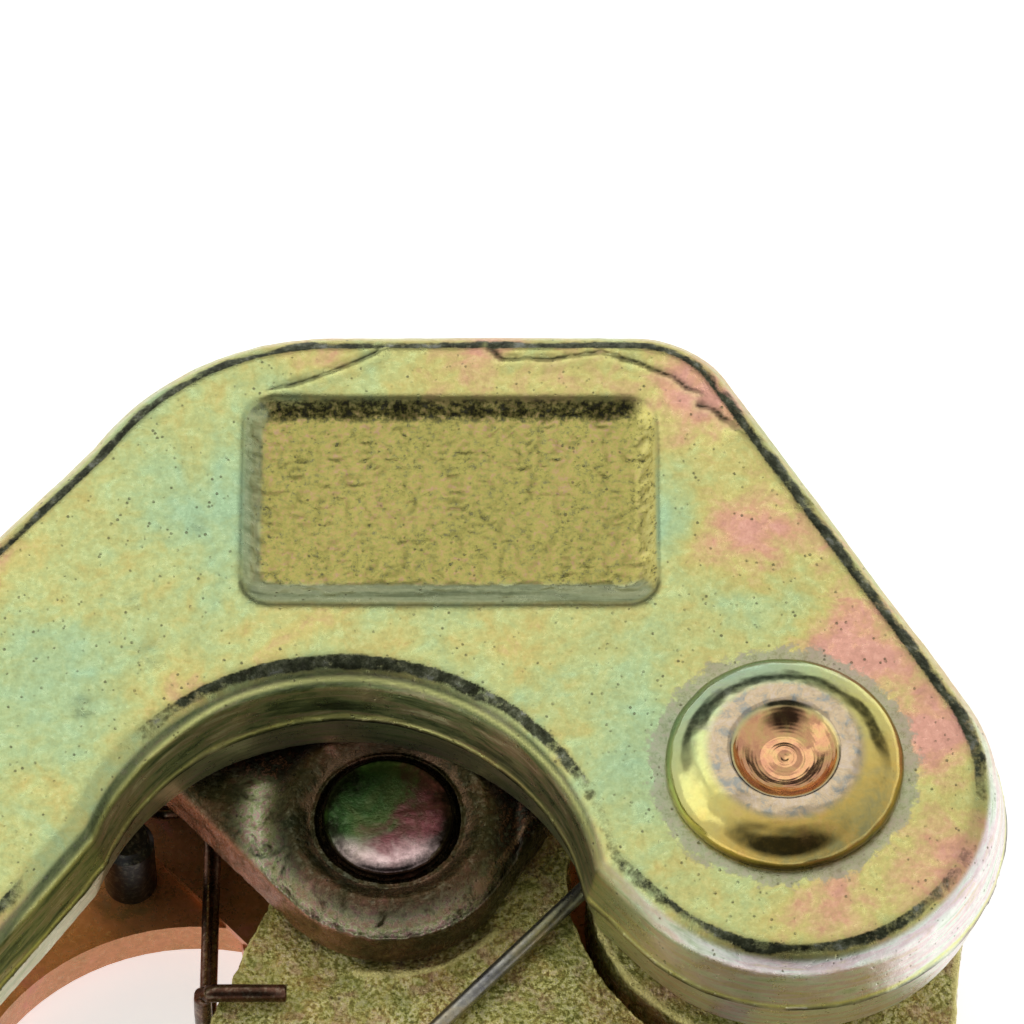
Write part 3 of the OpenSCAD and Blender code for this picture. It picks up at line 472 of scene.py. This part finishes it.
def forged_copy(node, name, finish, body, voxel_mm, rounds, swell, shape=None, sink=0.0, seed=0.0):
    """A dense smooth copy of a CAD solid with the soft edges and skin of a forging or casting."""
    mesh = nodes[node].data.copy()
    b = bmesh.new()
    b.from_mesh(mesh)
    bmesh.ops.remove_doubles(b, verts=b.verts, dist=REMESH_WELD)
    b.to_mesh(mesh)
    b.free()
    piece = bpy.data.objects.new(name, mesh)
    bpy.context.scene.collection.objects.link(piece)
    apply_modifier(piece, "REMESH", mode="VOXEL", voxel_size=voxel_mm * MM, adaptivity=0)
    mesh = piece.data
    bpy.data.objects.remove(piece)
    mesh.name = name
    edges = read_edges(mesh)
    points = relax(read_points(mesh), edges, rounds)
    mesh.vertices.foreach_set("co", points.ravel())
    mesh.update()
    normals = normals_of(mesh)
    rise = curvature(points, edges, normals, 8)
    if shape is not None:
        points = shape(mesh, points, normals)
    for size, height in swell:
        points = points + normals * ((rough_field(points, size, seed=seed) - sink) * height * MM)[:, None]
    mesh.vertices.foreach_set("co", points.ravel())
    mark_wear(mesh, rise, EDGE_LEAST, 3 * EDGE_LEAST, 4 * EDGE_LEAST)
    mesh.update()
    made = put(name, mesh, finish, body)
    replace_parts(made, node)


def lathe(name, at, profile, finish, body, sides=128):
    """A turned piece: profile is [radius, z] from the bottom axis point round to the top axis point."""
    b = bmesh.new()
    rings = []
    for r, z in profile:
        angles = [2 * math.pi * k / sides for k in range(sides)] if r > 1e-6 else [0.0]
        rings.append([b.verts.new(Vector((at[0] + r * math.cos(a), at[1] + r * math.sin(a), z)) * MM)
                      for a in angles])
    for low, high in zip(rings, rings[1:]):
        for k in range(sides):
            n = (k + 1) % sides
            if len(low) == 1 and len(high) == 1:
                continue
            if len(low) == 1:
                b.faces.new((low[0], high[n], high[k]))
            elif len(high) == 1:
                b.faces.new((low[k], low[n], high[0]))
            else:
                b.faces.new((low[k], low[n], high[n], high[k]))
    bmesh.ops.recalc_face_normals(b, faces=b.faces)
    mesh = bpy.data.meshes.new(name)
    b.to_mesh(mesh)
    b.free()
    points, edges = read_points(mesh), read_edges(mesh)
    rise = curvature(points, edges, normals_of(mesh), 6)
    mark_wear(mesh, rise, TURNED_LEAST, TURNED_OVER, TURNED_OVER)
    return put(name, mesh, finish, body)


def smooth_path(path, per):
    """Points along a smooth curve through the given ones."""
    path = [Vector(p) for p in path]
    out = []
    last = len(path) - 1
    for i in range(last):
        p0, p1, p2, p3 = path[max(i - 1, 0)], path[i], path[i + 1], path[min(i + 2, last)]
        for k in range(per):
            t = k / per
            out.append(0.5 * (2 * p1 + (p2 - p0) * t + (2 * p0 - 5 * p1 + 4 * p2 - p3) * t * t
                              + (3 * p1 - p0 - 3 * p2 + p3) * t ** 3))
    out.append(path[-1])
    return out


def tube(name, path, radius, finish, body, sides=18):
    """A round wire with slightly rounded ends, along points in millimetres."""
    last = len(path) - 1
    ways = [(path[min(i + 1, last)] - path[max(i - 1, 0)]).normalized() for i in range(len(path))]
    side = ways[0].cross(Vector((0.3, 0.2, 1))).normalized()
    b = bmesh.new()
    rings = []

    def ring(centre, way, r):
        across = way.cross(side)
        rings.append([b.verts.new((centre + r * (math.cos(2 * math.pi * k / sides) * side
                                                 + math.sin(2 * math.pi * k / sides) * across)) * MM)
                      for k in range(sides)])

    for i, centre in enumerate(path):
        side = (side - side.dot(ways[i]) * ways[i]).normalized()
        if i == 0:
            ring(centre, ways[i], radius * WIRE_TIP)
            ring(centre + ways[i] * radius * WIRE_TIP_LENGTH, ways[i], radius)
        elif i == last:
            ring(centre - ways[i] * radius * WIRE_TIP_LENGTH, ways[i], radius)
            ring(centre, ways[i], radius * WIRE_TIP)
        else:
            ring(centre, ways[i], radius)
    for low, high in zip(rings, rings[1:]):
        for k in range(sides):
            n = (k + 1) % sides
            b.faces.new((low[k], low[n], high[n], high[k]))
    b.faces.new(rings[0][::-1])
    b.faces.new(rings[-1])
    bmesh.ops.recalc_face_normals(b, faces=b.faces)
    mesh = bpy.data.meshes.new(name)
    b.to_mesh(mesh)
    b.free()
    return put(name, mesh, finish, body)


# ---- Lever forging ----
# Dents: x, y, radius and depth
DENTS = [(103.3, 65.8, 1.1, 0.2), (98.0, 60.6, 0.9, 0.22), (157.6, 80.6, 0.8, 0.2),
         (107.0, 78.2, 0.6, 0.12), (146.0, 88.5, 0.5, 0.1), (101.8, 70.5, 0.5, 0.12)]
# Folds that the forging dies left near the edge
LAPS = [[(113.2, 91.6), (116.2, 92.6), (119.5, 94.1), (121.6, 95.3)],
        [(131.3, 95.7), (132.1, 94.5), (136.3, 94.5), (140.4, 95.2), (143.7, 94.2), (146.6, 92.7),
         (148.3, 91.2)],
        [(148.8, 90.0), (150.4, 89.2), (151.6, 87.6)]]
BAY = (119.0186, 42.4701)
BAY_RADIUS = 22.1
PANEL_AT = (127.8186, 80.4701)
PANEL_HALF = (17.5, 10.3)
PANEL_RIM = 1.6
LAP_HEIGHT = 0.2
FLASH_HEIGHT = 0.16
GRIT_HEIGHT = 0.16


def smooth_step(low, high, value):
    """0 below low, 1 above high and an even rise between them."""
    t = np.clip((value - low) / (high - low), 0, 1)
    return t * t * (3 - 2 * t)


def line_distance(x, y, line):
    """Distance from each point to a bent line, and 1 on its right side or 0 on its left."""
    best = np.full(len(x), 1e9)
    right = np.zeros(len(x))
    for (x0, y0), (x1, y1) in zip(line, line[1:]):
        dx, dy = x1 - x0, y1 - y0
        t = np.clip(((x - x0) * dx + (y - y0) * dy) / (dx * dx + dy * dy), 0, 1)
        away = np.hypot(x - x0 - t * dx, y - y0 - t * dy)
        right = np.where(away < best, (x - x0) * dy > (y - y0) * dx, right)
        best = np.minimum(best, away)
    return best, right


# Zones of the plating's hue: x, y, radius, pink share
BLUSHES = [(149, 91, 5, 0.4), (153, 77, 5, 0.3), (162, 66, 5, 0.35), (168, 58, 4, 0.4),
           (168, 46, 5, 0.3), (158, 41, 5, 0.2), (128, 93, 9, 0.2), (110, 79, 6, -0.3),
           (95, 66, 7, -0.15), (143, 54, 5, -0.3), (146, 78, 2.5, -0.3), (103, 82, 6, -0.12)]


def lever_shape(mesh, points, normals):
    """Dents, forging laps and the flash line, and the attributes that the finish paints with."""
    x, y, z = (points / MM).T

    def spot(at, across, along):
        """1 at a place and less away from it."""
        return np.exp(-((x - at[0]) / across) ** 2 - ((y - at[1]) / along) ** 2)

    def line(value, width, power=2):
        """1 where value is 0, over a narrow band."""
        return np.exp(-(value / width) ** power)

    def from_place(at):
        """Distance from a place, seen from the front."""
        return np.hypot(x - at[0], y - at[1])

    in_panel = ((np.abs(x - PANEL_AT[0]) < PANEL_HALF[0] + PANEL_RIM)
                & (np.abs(y - PANEL_AT[1]) < PANEL_HALF[1] + PANEL_RIM))
    by_rivet = (from_place(RIVET) < HEAD_RADIUS - 0.25) | (from_place(EYE_PIN) < HEAD_RADIUS - 0.25)
    plain = ~(in_panel | by_rivet)
    face = (normals[:, 2] > 0.8) & (z > Z_FRONT - 0.6)
    below = Z_FRONT - z
    blush = np.full(len(x), 0.5)
    for at_x, at_y, r, amount in BLUSHES:
        blush += amount * line(from_place((at_x, at_y)), r)
    set_attribute(mesh, "blush", blush)

    # Walls: painted shade in the bay and under the arm, and a painted pale reflection round the end
    dark = 1 - smooth_step(BAY_RADIUS + 2.5, BAY_RADIUS + 5, from_place(BAY))
    dark *= 1 - smooth_step(136, 143, x)
    under_arm = smooth_step(0.2, 0.5, -normals[:, 1]) * (1 - smooth_step(101, 111, x))
    set_attribute(mesh, "bay", np.maximum(dark, under_arm))
    set_attribute(mesh, "pale_reflection", smooth_step(138, 152, x) * (1 - smooth_step(50, 66, y)))
    set_attribute(mesh, "wall", smooth_step(0.5, 0.8, below) * plain)

    # The corner: a painted dark band of shade along the edge, left out where light catches it
    width = 0.26 + 0.12 * dark + 0.2 * smooth_step(0.3, 0.6, normals[:, 0])
    width += 0.2 * rough_field(points, 5, 3, seed=39.0)
    corner = smooth_step(0.03, 0.1, below) * (1 - smooth_step(width, width + 0.3, below)) * plain
    lit_edge = np.maximum(under_arm, dark * (1 - smooth_step(98, 109, x)))
    corner *= (1 - 0.9 * lit_edge) * (1 - 0.75 * spot((170, 49), 5, 7)) * (1 - 0.55 * spot((141, 51), 6, 8))
    set_attribute(mesh, "corner", corner)

    # The sunk panel's floor and slopes, with painted shade on its top wall and painted light on its other
    # walls
    set_attribute(mesh, "panel", smooth_step(0.5, 1.0, below) * in_panel)
    sunk = smooth_step(0.1, 0.4, below) * in_panel
    top_edge = PANEL_AT[1] + PANEL_HALF[1] - 0.7
    right_edge = PANEL_AT[0] + PANEL_HALF[0] - 0.6
    left_of_edge = 1 - smooth_step(right_edge - 2, right_edge, x)
    set_attribute(mesh, "panel_top", line(y - top_edge, 1.25, 4) * sunk * left_of_edge)
    set_attribute(mesh, "panel_right", line(x - right_edge, 1.1) * sunk)
    # Painted light on the slopes that face the light
    lit_low_slope = smooth_step(0.1, 0.3, normals[:, 1])
    lit_left_slope = smooth_step(0.1, 0.4, normals[:, 0])
    set_attribute(mesh, "panel_low", np.maximum(lit_low_slope, 0.7 * lit_left_slope) * sunk)
    set_attribute(mesh, "halo", line(from_place(RIVET) - HEAD_RADIUS, 1.5) * face)

    # The flash line half way down the walls, with a painted highlight line over it
    mid = Z_LEVER + (Z_FRONT - Z_LEVER) / 2 + rough_field(points, 9, 3, seed=30.0) * 0.35
    steep = (np.abs(normals[:, 2]) < 0.75) * plain
    seam = line(z - mid, 0.2) * steep
    set_attribute(mesh, "flash", seam * smooth_step(-0.5, 0.3, rough_field(points, 4, 2, seed=33.0)))
    # A second painted highlight line along the bevel of the edge
    bevel_line = line(below - 1.15 - 0.5 * lit_edge, 0.16 + 0.1 * lit_edge) * dark * plain * 0.75
    glint = np.maximum(line(z - mid - 0.4, 0.19) * steep, bevel_line)
    set_attribute(mesh, "low_wall", smooth_step(0.0, 0.4, mid - z) * steep)
    # Painted shade, darkest on the upper draft next to the face
    set_attribute(mesh, "high_wall", 0.75 * (1 - smooth_step(1.0, 2.6, below)) * plain)

    # Laps: a dark crack with a raised lip on its right side, and a painted highlight on the lip
    lap = np.zeros(len(x))
    lip = np.zeros(len(x))
    waver = rough_field(points, 1.5, 3, seed=37.0)
    for crack in LAPS:
        away, right = line_distance(x + 0.3 * waver, y + 0.25 * waver, crack)
        lap = np.maximum(lap, line(away, 0.26))
        lip = np.maximum(lip, line(away, 1.2) * right)
        glint = np.maximum(glint, 0.3 * line(away - 0.55, 0.3) * right * face)
    set_attribute(mesh, "glint", glint)
    lap = lap * face
    # Painted shade: a dark line along the panel's lower rim, stored with the laps
    rim_shade_line = line(below - 0.12, 0.09) * (normals[:, 1] > 0.05) * in_panel * 0.7
    set_attribute(mesh, "lap", np.maximum(lap * smooth_step(-0.6, 0.2, waver), rim_shade_line))

    moved = points.copy()
    moved[:, 2] += LAP_HEIGHT * (lip * face - lap) * MM
    moved += normals * (seam * FLASH_HEIGHT * MM)[:, None]
    for at_x, at_y, r, deep in DENTS:
        moved[:, 2] -= np.where(face, deep * MM * line(from_place((at_x, at_y)), r), 0)
    grit = rough_field(points, 0.8, 3, seed=35.0) * GRIT_HEIGHT * smooth_step(0.4, 1.0, below) * in_panel
    return moved + normals * (grit * MM)[:, None]


forged_copy("lever_forging", "lever_skin", forging_finish, "lever",
            voxel_mm=0.32, rounds=2, swell=((14, 0.09), (2.2, 0.03)), shape=lever_shape, seed=1.0)

# ---- Cheek, body, upper jaw and pulling link ----
# Change of the cheek's height at each distance from the pin: a broad ring that falls away on both sides
RING_AWAY = [6.1, 6.5, 7.0, 7.4, 7.8, 8.2, 8.8, 9.4, 10.0, 10.6, 11.2]
RING_LIFT = [0.0, -0.9, -0.6, -0.2, 0.35, 0.85, 0.7, 0.3, -0.15, -0.6, -0.6]
RING_END = RING_AWAY[-1]
CASTING_SINK = 0.7  # keeps the relief inside the solid, clear of what moves past it


def cheek_shape(mesh, points, normals):
    """A broad ring round the pin, and a lobe that falls away from it; also marks the painted highlight,
    painted shade and lit sides.
    """
    x, y, z = (points / MM).T
    right, over = x - PIVOT[0], y - PIVOT[1]
    away = np.hypot(right, over)
    lift = np.interp(away, RING_AWAY, RING_LIFT) * (away < RING_END)
    lift = np.where((lift < 0) & (away > 9), lift * (1 - smooth_step(-2, 4, over)), lift)
    up = smooth_step(0.3, 0.7, normals[:, 2])
    lower_left = smooth_step(-1.0, 1.5, -over - 0.35 * right)
    painted_highlight = up * np.exp(-((away - 11.0) / 1.2) ** 2) * lower_left * (1 - smooth_step(4, 10, right))
    set_attribute(mesh, "painted_highlight", painted_highlight)
    set_attribute(mesh, "shade", up * smooth_step(8.5, 10, away) * (1 - lower_left))
    # Painted light on the sides that face left
    set_attribute(mesh, "side", (1 - up) * (away > 7) * smooth_step(0.1, 0.5, -normals[:, 0]))
    moved = points.copy()
    moved[:, 2] += MM * lift * smooth_step(0.05, 0.4, normals[:, 2]) * (z > Z_CHEEK - 0.9)
    return moved


forged_copy("front_cheek", "cheek_skin", cheek_finish, "lever",
            voxel_mm=0.32, rounds=2, swell=((5, 0.08), (1.1, 0.06)), shape=cheek_shape, seed=2.0)
forged_copy("body_casting", "body_skin", casting_finish, "body", voxel_mm=0.38,
            rounds=2, swell=((5, 0.28), (1.6, 0.18), (0.7, 0.07)), sink=CASTING_SINK, seed=3.0)
forged_copy("upper_jaw", "upper_jaw_skin", casting_finish, "jaw", voxel_mm=0.4,
            rounds=2, swell=((6, 0.2), (1.4, 0.14), (0.7, 0.06)), sink=CASTING_SINK, seed=4.0)
forged_copy("pulling_link", "pulling_link_skin", link_finish, "eye",
            voxel_mm=0.6, rounds=4, swell=((12, 0.08), (2.5, 0.02)), seed=5.0)

# ---- Rivets and the pivot pin: turned, with softly hammered heads ----
# A head's radius and height, from its rim over the dome and the flat into the dimple
HEAD = [(9.4, 0), (9.62, 0.06), (9.74, 0.28), (9.72, 0.6), (9.58, 0.98), (9.3, 1.4), (8.9, 1.78),
        (8.35, 2.14), (7.7, 2.44), (7.0, 2.68), (6.3, 2.82), (5.6, 2.88), (5.0, 2.9), (4.6, 2.86),
        (4.3, 2.7), (4.0, 2.4), (3.6, 2.05), (3.1, 1.74), (2.5, 1.5), (2.0, 1.38), (1.6, 1.37),
        (1.3, 1.41), (1.05, 1.46), (0.8, 1.47), (0.5, 1.46), (0.2, 1.4)]
RIDGE_HEIGHT = 0.004  # turning marks in the dimple
RIDGES_PER_MM = 21  # in radians
DIMPLE_RADIUS = 4.2


def riveted_tail(tail_r):
    """From the middle of a riveted tail up to its washer."""
    return [(0, Z_REST), (tail_r - TAIL_BEVEL, Z_REST), (tail_r, Z_REST + TAIL_BEVEL_HEIGHT),
            (tail_r, Z_TAIL)]


def rivet_profile(shank_r, tail_r):
    """From the riveted tail up the shank to the middle of the domed head."""
    dome = smooth_path([(r, 0, Z_FRONT + z) for r, z in HEAD], 8)
    dome = [(p.x, p.z + RIDGE_HEIGHT * math.sin(p.x * RIDGES_PER_MM) * (p.x < DIMPLE_RADIUS))
            for p in dome]
    shank = [(shank_r, Z_TAIL), (shank_r, Z_FRONT)]
    return riveted_tail(tail_r) + shank + dome + [(0, dome[-1][1])]


def hammered(piece, at, size, height, seed, head_r=HEAD_RADIUS, lean=(-0.5, 0.85)):
    """Softens a turned head with low dents, and marks its dome, flat and dimple, and the masks of its
    painted reflection, for the finish.
    """
    mesh = piece.data
    points = read_points(mesh)
    x, y, z = (points / MM).T
    r = np.hypot(x - at[0], y - at[1])
    tilt = ((x - at[0]) * lean[0] + (y - at[1]) * lean[1]) / head_r
    set_attribute(mesh, "pale_reflection", smooth_step(0.3, 0.85, (at[1] - y) / head_r))
    set_attribute(mesh, "reflection_tint", 0.5 + 0.5 * tilt)
    set_attribute(mesh, "flat", smooth_step(4.1, 4.6, r) * (1 - smooth_step(5.9, 6.9, r)) * (z > Z_FRONT))
    set_attribute(mesh, "cup", (1 - smooth_step(3.9, 4.5, r)) * (z > Z_FRONT))
    points += normals_of(mesh) * (rough_field(points, size, 3, seed) * height * MM)[:, None]
    mesh.vertices.foreach_set("co", points.ravel())
    mesh.update()
    return piece


main_rivet = lathe("rivet_head", RIVET, rivet_profile(SHANK_RADIUS, TAIL_RADIUS), rivet_finish,
                   "lever")
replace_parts(hammered(main_rivet, RIVET, 3.0, 0.06, 41.0), "main_rivet")
eye_rivet = lathe("eye_rivet_head", EYE_PIN, rivet_profile(EYE_SHANK_RADIUS, EYE_TAIL_RADIUS),
                  rivet_finish, "lever")
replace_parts(hammered(eye_rivet, EYE_PIN, 3.0, 0.06, 44.0), "eye_rivet")

# The pin's flat head, from its rim to its middle
PIN_HEAD = [(5.42, 7.4), (PIN_HEAD_RADIUS, 7.6), (PIN_HEAD_RADIUS, 8.5), (5.46, 8.7), (5.34, 8.88),
            (5.14, 9.0), (4.9, 9.07), (4.4, 9.1), (3.4, 9.06), (2.2, 9.0), (1.0, 8.97), (0, 8.97)]
pin_shank = [(PIN_SHANK_RADIUS, Z_TAIL), (PIN_SHANK_RADIUS, 7.35)]
pivot_pin = lathe("pivot_pin_head", PIVOT, riveted_tail(PIN_TAIL_RADIUS) + pin_shank + PIN_HEAD,
                  pin_finish, "lever")
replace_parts(hammered(pivot_pin, PIVOT, 2.0, 0.06, 47.0, 5.5, (-0.8, 0.4)), "pivot_pin")


# ---- Springs: round wire along the CAD's own routes ----
def coil(at, r, start, turns, z_start, z_end, rings):
    """A helix, with so many points to a turn."""
    steps = round(abs(turns) * rings)
    return [(at[0] + r * math.cos(math.radians(start + 360 * turns * i / steps)),
             at[1] + r * math.sin(math.radians(start + 360 * turns * i / steps)),
             z_start + (z_end - z_start) * i / steps) for i in range(steps + 1)]


def eased(path, r):
    """Corners of a path cut by a short bend."""
    path = [Vector(p) for p in path]
    out = [path[0]]
    for back, here, ahead in zip(path, path[1:], path[2:]):
        u, v = (back - here).normalized(), (ahead - here).normalized()
        out += [here + u * r, here + (u + v) * r * 0.29, here + v * r]
    return out + [path[-1]]


def even(path, step):
    """The same path with more points, so that a long straight can bend."""
    out = [path[0]]
    for low, high in zip(path, path[1:]):
        parts = max(1, round((high - low).length / step))
        out += [low + (high - low) * (i + 1) / parts for i in range(parts)]
    return out


STRAIGHT_STEP = 1.2  # mm between the rings of a straight wire

SPRING_SEAT = (103.72, 69.47)
CLOSE_R, CLOSE_COIL, CLOSE_TURNS = 0.75, 3.7, 4.5
CLOSE_BEND = 1.2
CLOSE_LOW, CLOSE_HIGH = -7.15, 1.75
HOOK_LENGTH, HOOK_Z = 7, 3.75
hook_y = 43.27
hook_x = 107.34
close_path = eased([(hook_x + HOOK_LENGTH, hook_y, HOOK_Z), (hook_x, hook_y, HOOK_Z),
                    (hook_x, hook_y, CLOSE_LOW), (SPRING_SEAT[0] + CLOSE_COIL, SPRING_SEAT[1], CLOSE_LOW)],
                   CLOSE_BEND)
close_path += coil(SPRING_SEAT, CLOSE_COIL, 0, CLOSE_TURNS, CLOSE_LOW, CLOSE_HIGH, 16)[1:]
close_path += [(98.72, 65.87, 0.35), (97.42, 63.07, -3.6), (97.42, 60.27, -4.2)]
closing_spring = tube("closing_spring_wire", even(smooth_path(close_path, 3), STRAIGHT_STEP), CLOSE_R,
                      wire_finish, None)
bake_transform(closing_spring)
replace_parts(closing_spring, "closing_spring")

JAW_R, JAW_COIL, JAW_TURNS = 0.7, 10.45, 2
JAW_BEND = 1.1
JAW_HIGH = 8.9
LEG_ANGLE = 226.7
LEG_END_Y, LEG_Z, LEG_HOOK = 29.134, 3.7, 5.5
leg_way = (math.cos(math.radians(LEG_ANGLE)), math.sin(math.radians(LEG_ANGLE)))
foot = (RIVET[0] + JAW_COIL * math.cos(math.radians(LEG_ANGLE - 90)),
        RIVET[1] + JAW_COIL * math.sin(math.radians(LEG_ANGLE - 90)))
leg_length = (foot[1] - LEG_END_Y) / -leg_way[1]
leg_end_x = foot[0] + leg_length * leg_way[0]
jaw_path = eased([(leg_end_x, LEG_END_Y, LEG_Z - LEG_HOOK), (leg_end_x, LEG_END_Y, LEG_Z), (*foot, LEG_Z)],
                 JAW_BEND)
jaw_path += coil(RIVET, JAW_COIL, LEG_ANGLE - 90, -JAW_TURNS, LEG_Z, JAW_HIGH, 24)[1:]
jaw_spring = tube("jaw_spring_wire", even(smooth_path(jaw_path, 3), STRAIGHT_STEP), JAW_R,
                  grey_wire_finish, None)
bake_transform(jaw_spring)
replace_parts(jaw_spring, "jaw_spring")

KEEPER_AT = (180.02, -11.1)
KEEPER_R, KEEPER_COIL, KEEPER_TURNS = 0.5, 4.1, 3
KEEPER_LOW, KEEPER_HIGH = 13.0, 17.35
KEEPER_BEND = 0.8
keeper_path = eased([(171.02, -10.1, 6.0), (171.02, -10.1, KEEPER_LOW), (175.92, -8.1, KEEPER_LOW)],
                    KEEPER_BEND)
keeper_path += coil(KEEPER_AT, KEEPER_COIL, 180, KEEPER_TURNS, KEEPER_LOW, KEEPER_HIGH, 16)
keeper_path += [(175.92, -15.1, KEEPER_HIGH)]
keeper_spring = tube("keeper_spring_wire", smooth_path(keeper_path, 3), KEEPER_R, grey_wire_finish, "body")
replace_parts(keeper_spring, "keeper_spring")

# ---- Carried CAD nodes ----
for finish, names in {
    steel_finish: ("lower_jaw", "lower_jaw_pins", "body_link_pin", "jaw_link_pin", "spacer_studs",
                   "eye_washers", "keeper_pin"),
    plate_finish: ("rear_lever_plate", "guide_link", "wire_keeper", "main_rivet_washer",
                   "pivot_pin_washer", "eye_rivet_washer"),
    wire_finish: ("spring_pin",),
    black_finish: ("stop_stud",),
}.items():
    for name in names:
        mesh = nodes[name].data
        mesh.materials.clear()
        mesh.materials.append(finish)

# ---- Floor and light ----
floor_mesh = bpy.data.meshes.new("floor")
corners = [(x * FLOOR_HALF, y * FLOOR_HALF, Z_REST * MM) for x, y in ((-1, -1), (1, -1), (1, 1), (-1, 1))]
floor_mesh.from_pydata(corners, [], [(0, 1, 2, 3)])
floor = bpy.data.objects.new("floor", floor_mesh)
bpy.context.scene.collection.objects.link(floor)
paper = Finish("floor_paper")
light_path = paper.tree.nodes.new("ShaderNodeLightPath")
seen = paper.sum("MAXIMUM", light_path.outputs["Is Camera Ray"], light_path.outputs["Is Glossy Ray"])
paper.set("Base Color", paper.mix(seen, (0.8, 0.8, 0.79, 1), (1, 1, 1, 1)))
paper.set("Roughness", 1.0)
paper.set("Specular IOR Level", 0.0)
paper.set("Emission Color", (1, 1, 1))
paper.set("Emission Strength", paper.sum("MULTIPLY", seen, FLOOR_GLOW))
floor_mesh.materials.append(paper.material)

world = bpy.data.worlds.new("world")
bpy.context.scene.world = world
world.use_nodes = True
sky = world.node_tree
backdrop = sky.nodes["Background"]
direction = sky.nodes.new("ShaderNodeTexCoord").outputs["Generated"]
parts = sky.nodes.new("ShaderNodeSeparateXYZ")
sky.links.new(direction, parts.inputs[0])


def sky_span(source, spread):
    """Maps a range of source, (low, high), onto (to low, to high)."""
    node = sky.nodes.new("ShaderNodeMapRange")
    for socket, value in zip(list(node.inputs)[1:5], spread):
        socket.default_value = value
    sky.links.new(source, node.inputs[0])
    return node.outputs[0]


# The dark of the room behind the camera
behind = sky.nodes.new("ShaderNodeVectorMath")
behind.operation = "DOT_PRODUCT"
behind.inputs[1].default_value = ROOM_DARK_WAY
sky.links.new(direction, behind.inputs[0])
room_dark = sky_span(behind.outputs["Value"], (0.75, 0.93, WORLD_LEVEL, WORLD_DARK))
# The dark gap between the backdrop and the overhead light
gap = sky.nodes.new("ShaderNodeValToRGB")
bands = gap.color_ramp.elements
bands[0].position, bands[0].color = 0.33, as_rgba(1.0)
bands[1].position, bands[1].color = 0.7, as_rgba(1.0)
for place in (0.42, 0.58):
    bands.new(place).color = as_rgba(GAP_DARK)
sky.links.new(parts.outputs["Z"], gap.inputs[0])
gap_share = sky.nodes.new("ShaderNodeMix")
gap_share.inputs[2].default_value = 1.0
sky.links.new(sky_span(parts.outputs["Y"], (0.2, 0.6, 0.0, 1.0)), gap_share.inputs[0])
sky.links.new(gap.outputs[0], gap_share.inputs[3])
room = sky.nodes.new("ShaderNodeMath")
room.operation = "MULTIPLY"
sky.links.new(room_dark, room.inputs[0])
sky.links.new(gap_share.outputs[0], room.inputs[1])
camera_only = sky.nodes.new("ShaderNodeLightPath")
pick = sky.nodes.new("ShaderNodeMix")
pick.inputs[3].default_value = 1.0
sky.links.new(camera_only.outputs["Is Camera Ray"], pick.inputs[0])
sky.links.new(room.outputs[0], pick.inputs[2])
sky.links.new(pick.outputs[0], backdrop.inputs["Strength"])
backdrop.inputs["Color"].default_value = (1, 1, 1, 1)


def lamp(name, place, size, power):
    """A rectangular light that looks at the object."""
    data = bpy.data.lights.new(name, "AREA")
    data.shape = "RECTANGLE"
    data.size, data.size_y = size
    data.energy = power
    obj = bpy.data.objects.new(name, data)
    bpy.context.scene.collection.objects.link(obj)
    obj.location = Vector(place)
    obj.rotation_euler = (Vector(LAMP_AIM) * MM - obj.location).to_track_quat("-Z", "Y").to_euler()


lamp("key", (-0.05, 0.75, 1.05), (0.9, 0.6), 1.1)
lamp("side", (-0.9, 0.1, 0.8), (0.9, 0.9), 1.6)

bpy.context.scene.view_settings.view_transform = "Standard"
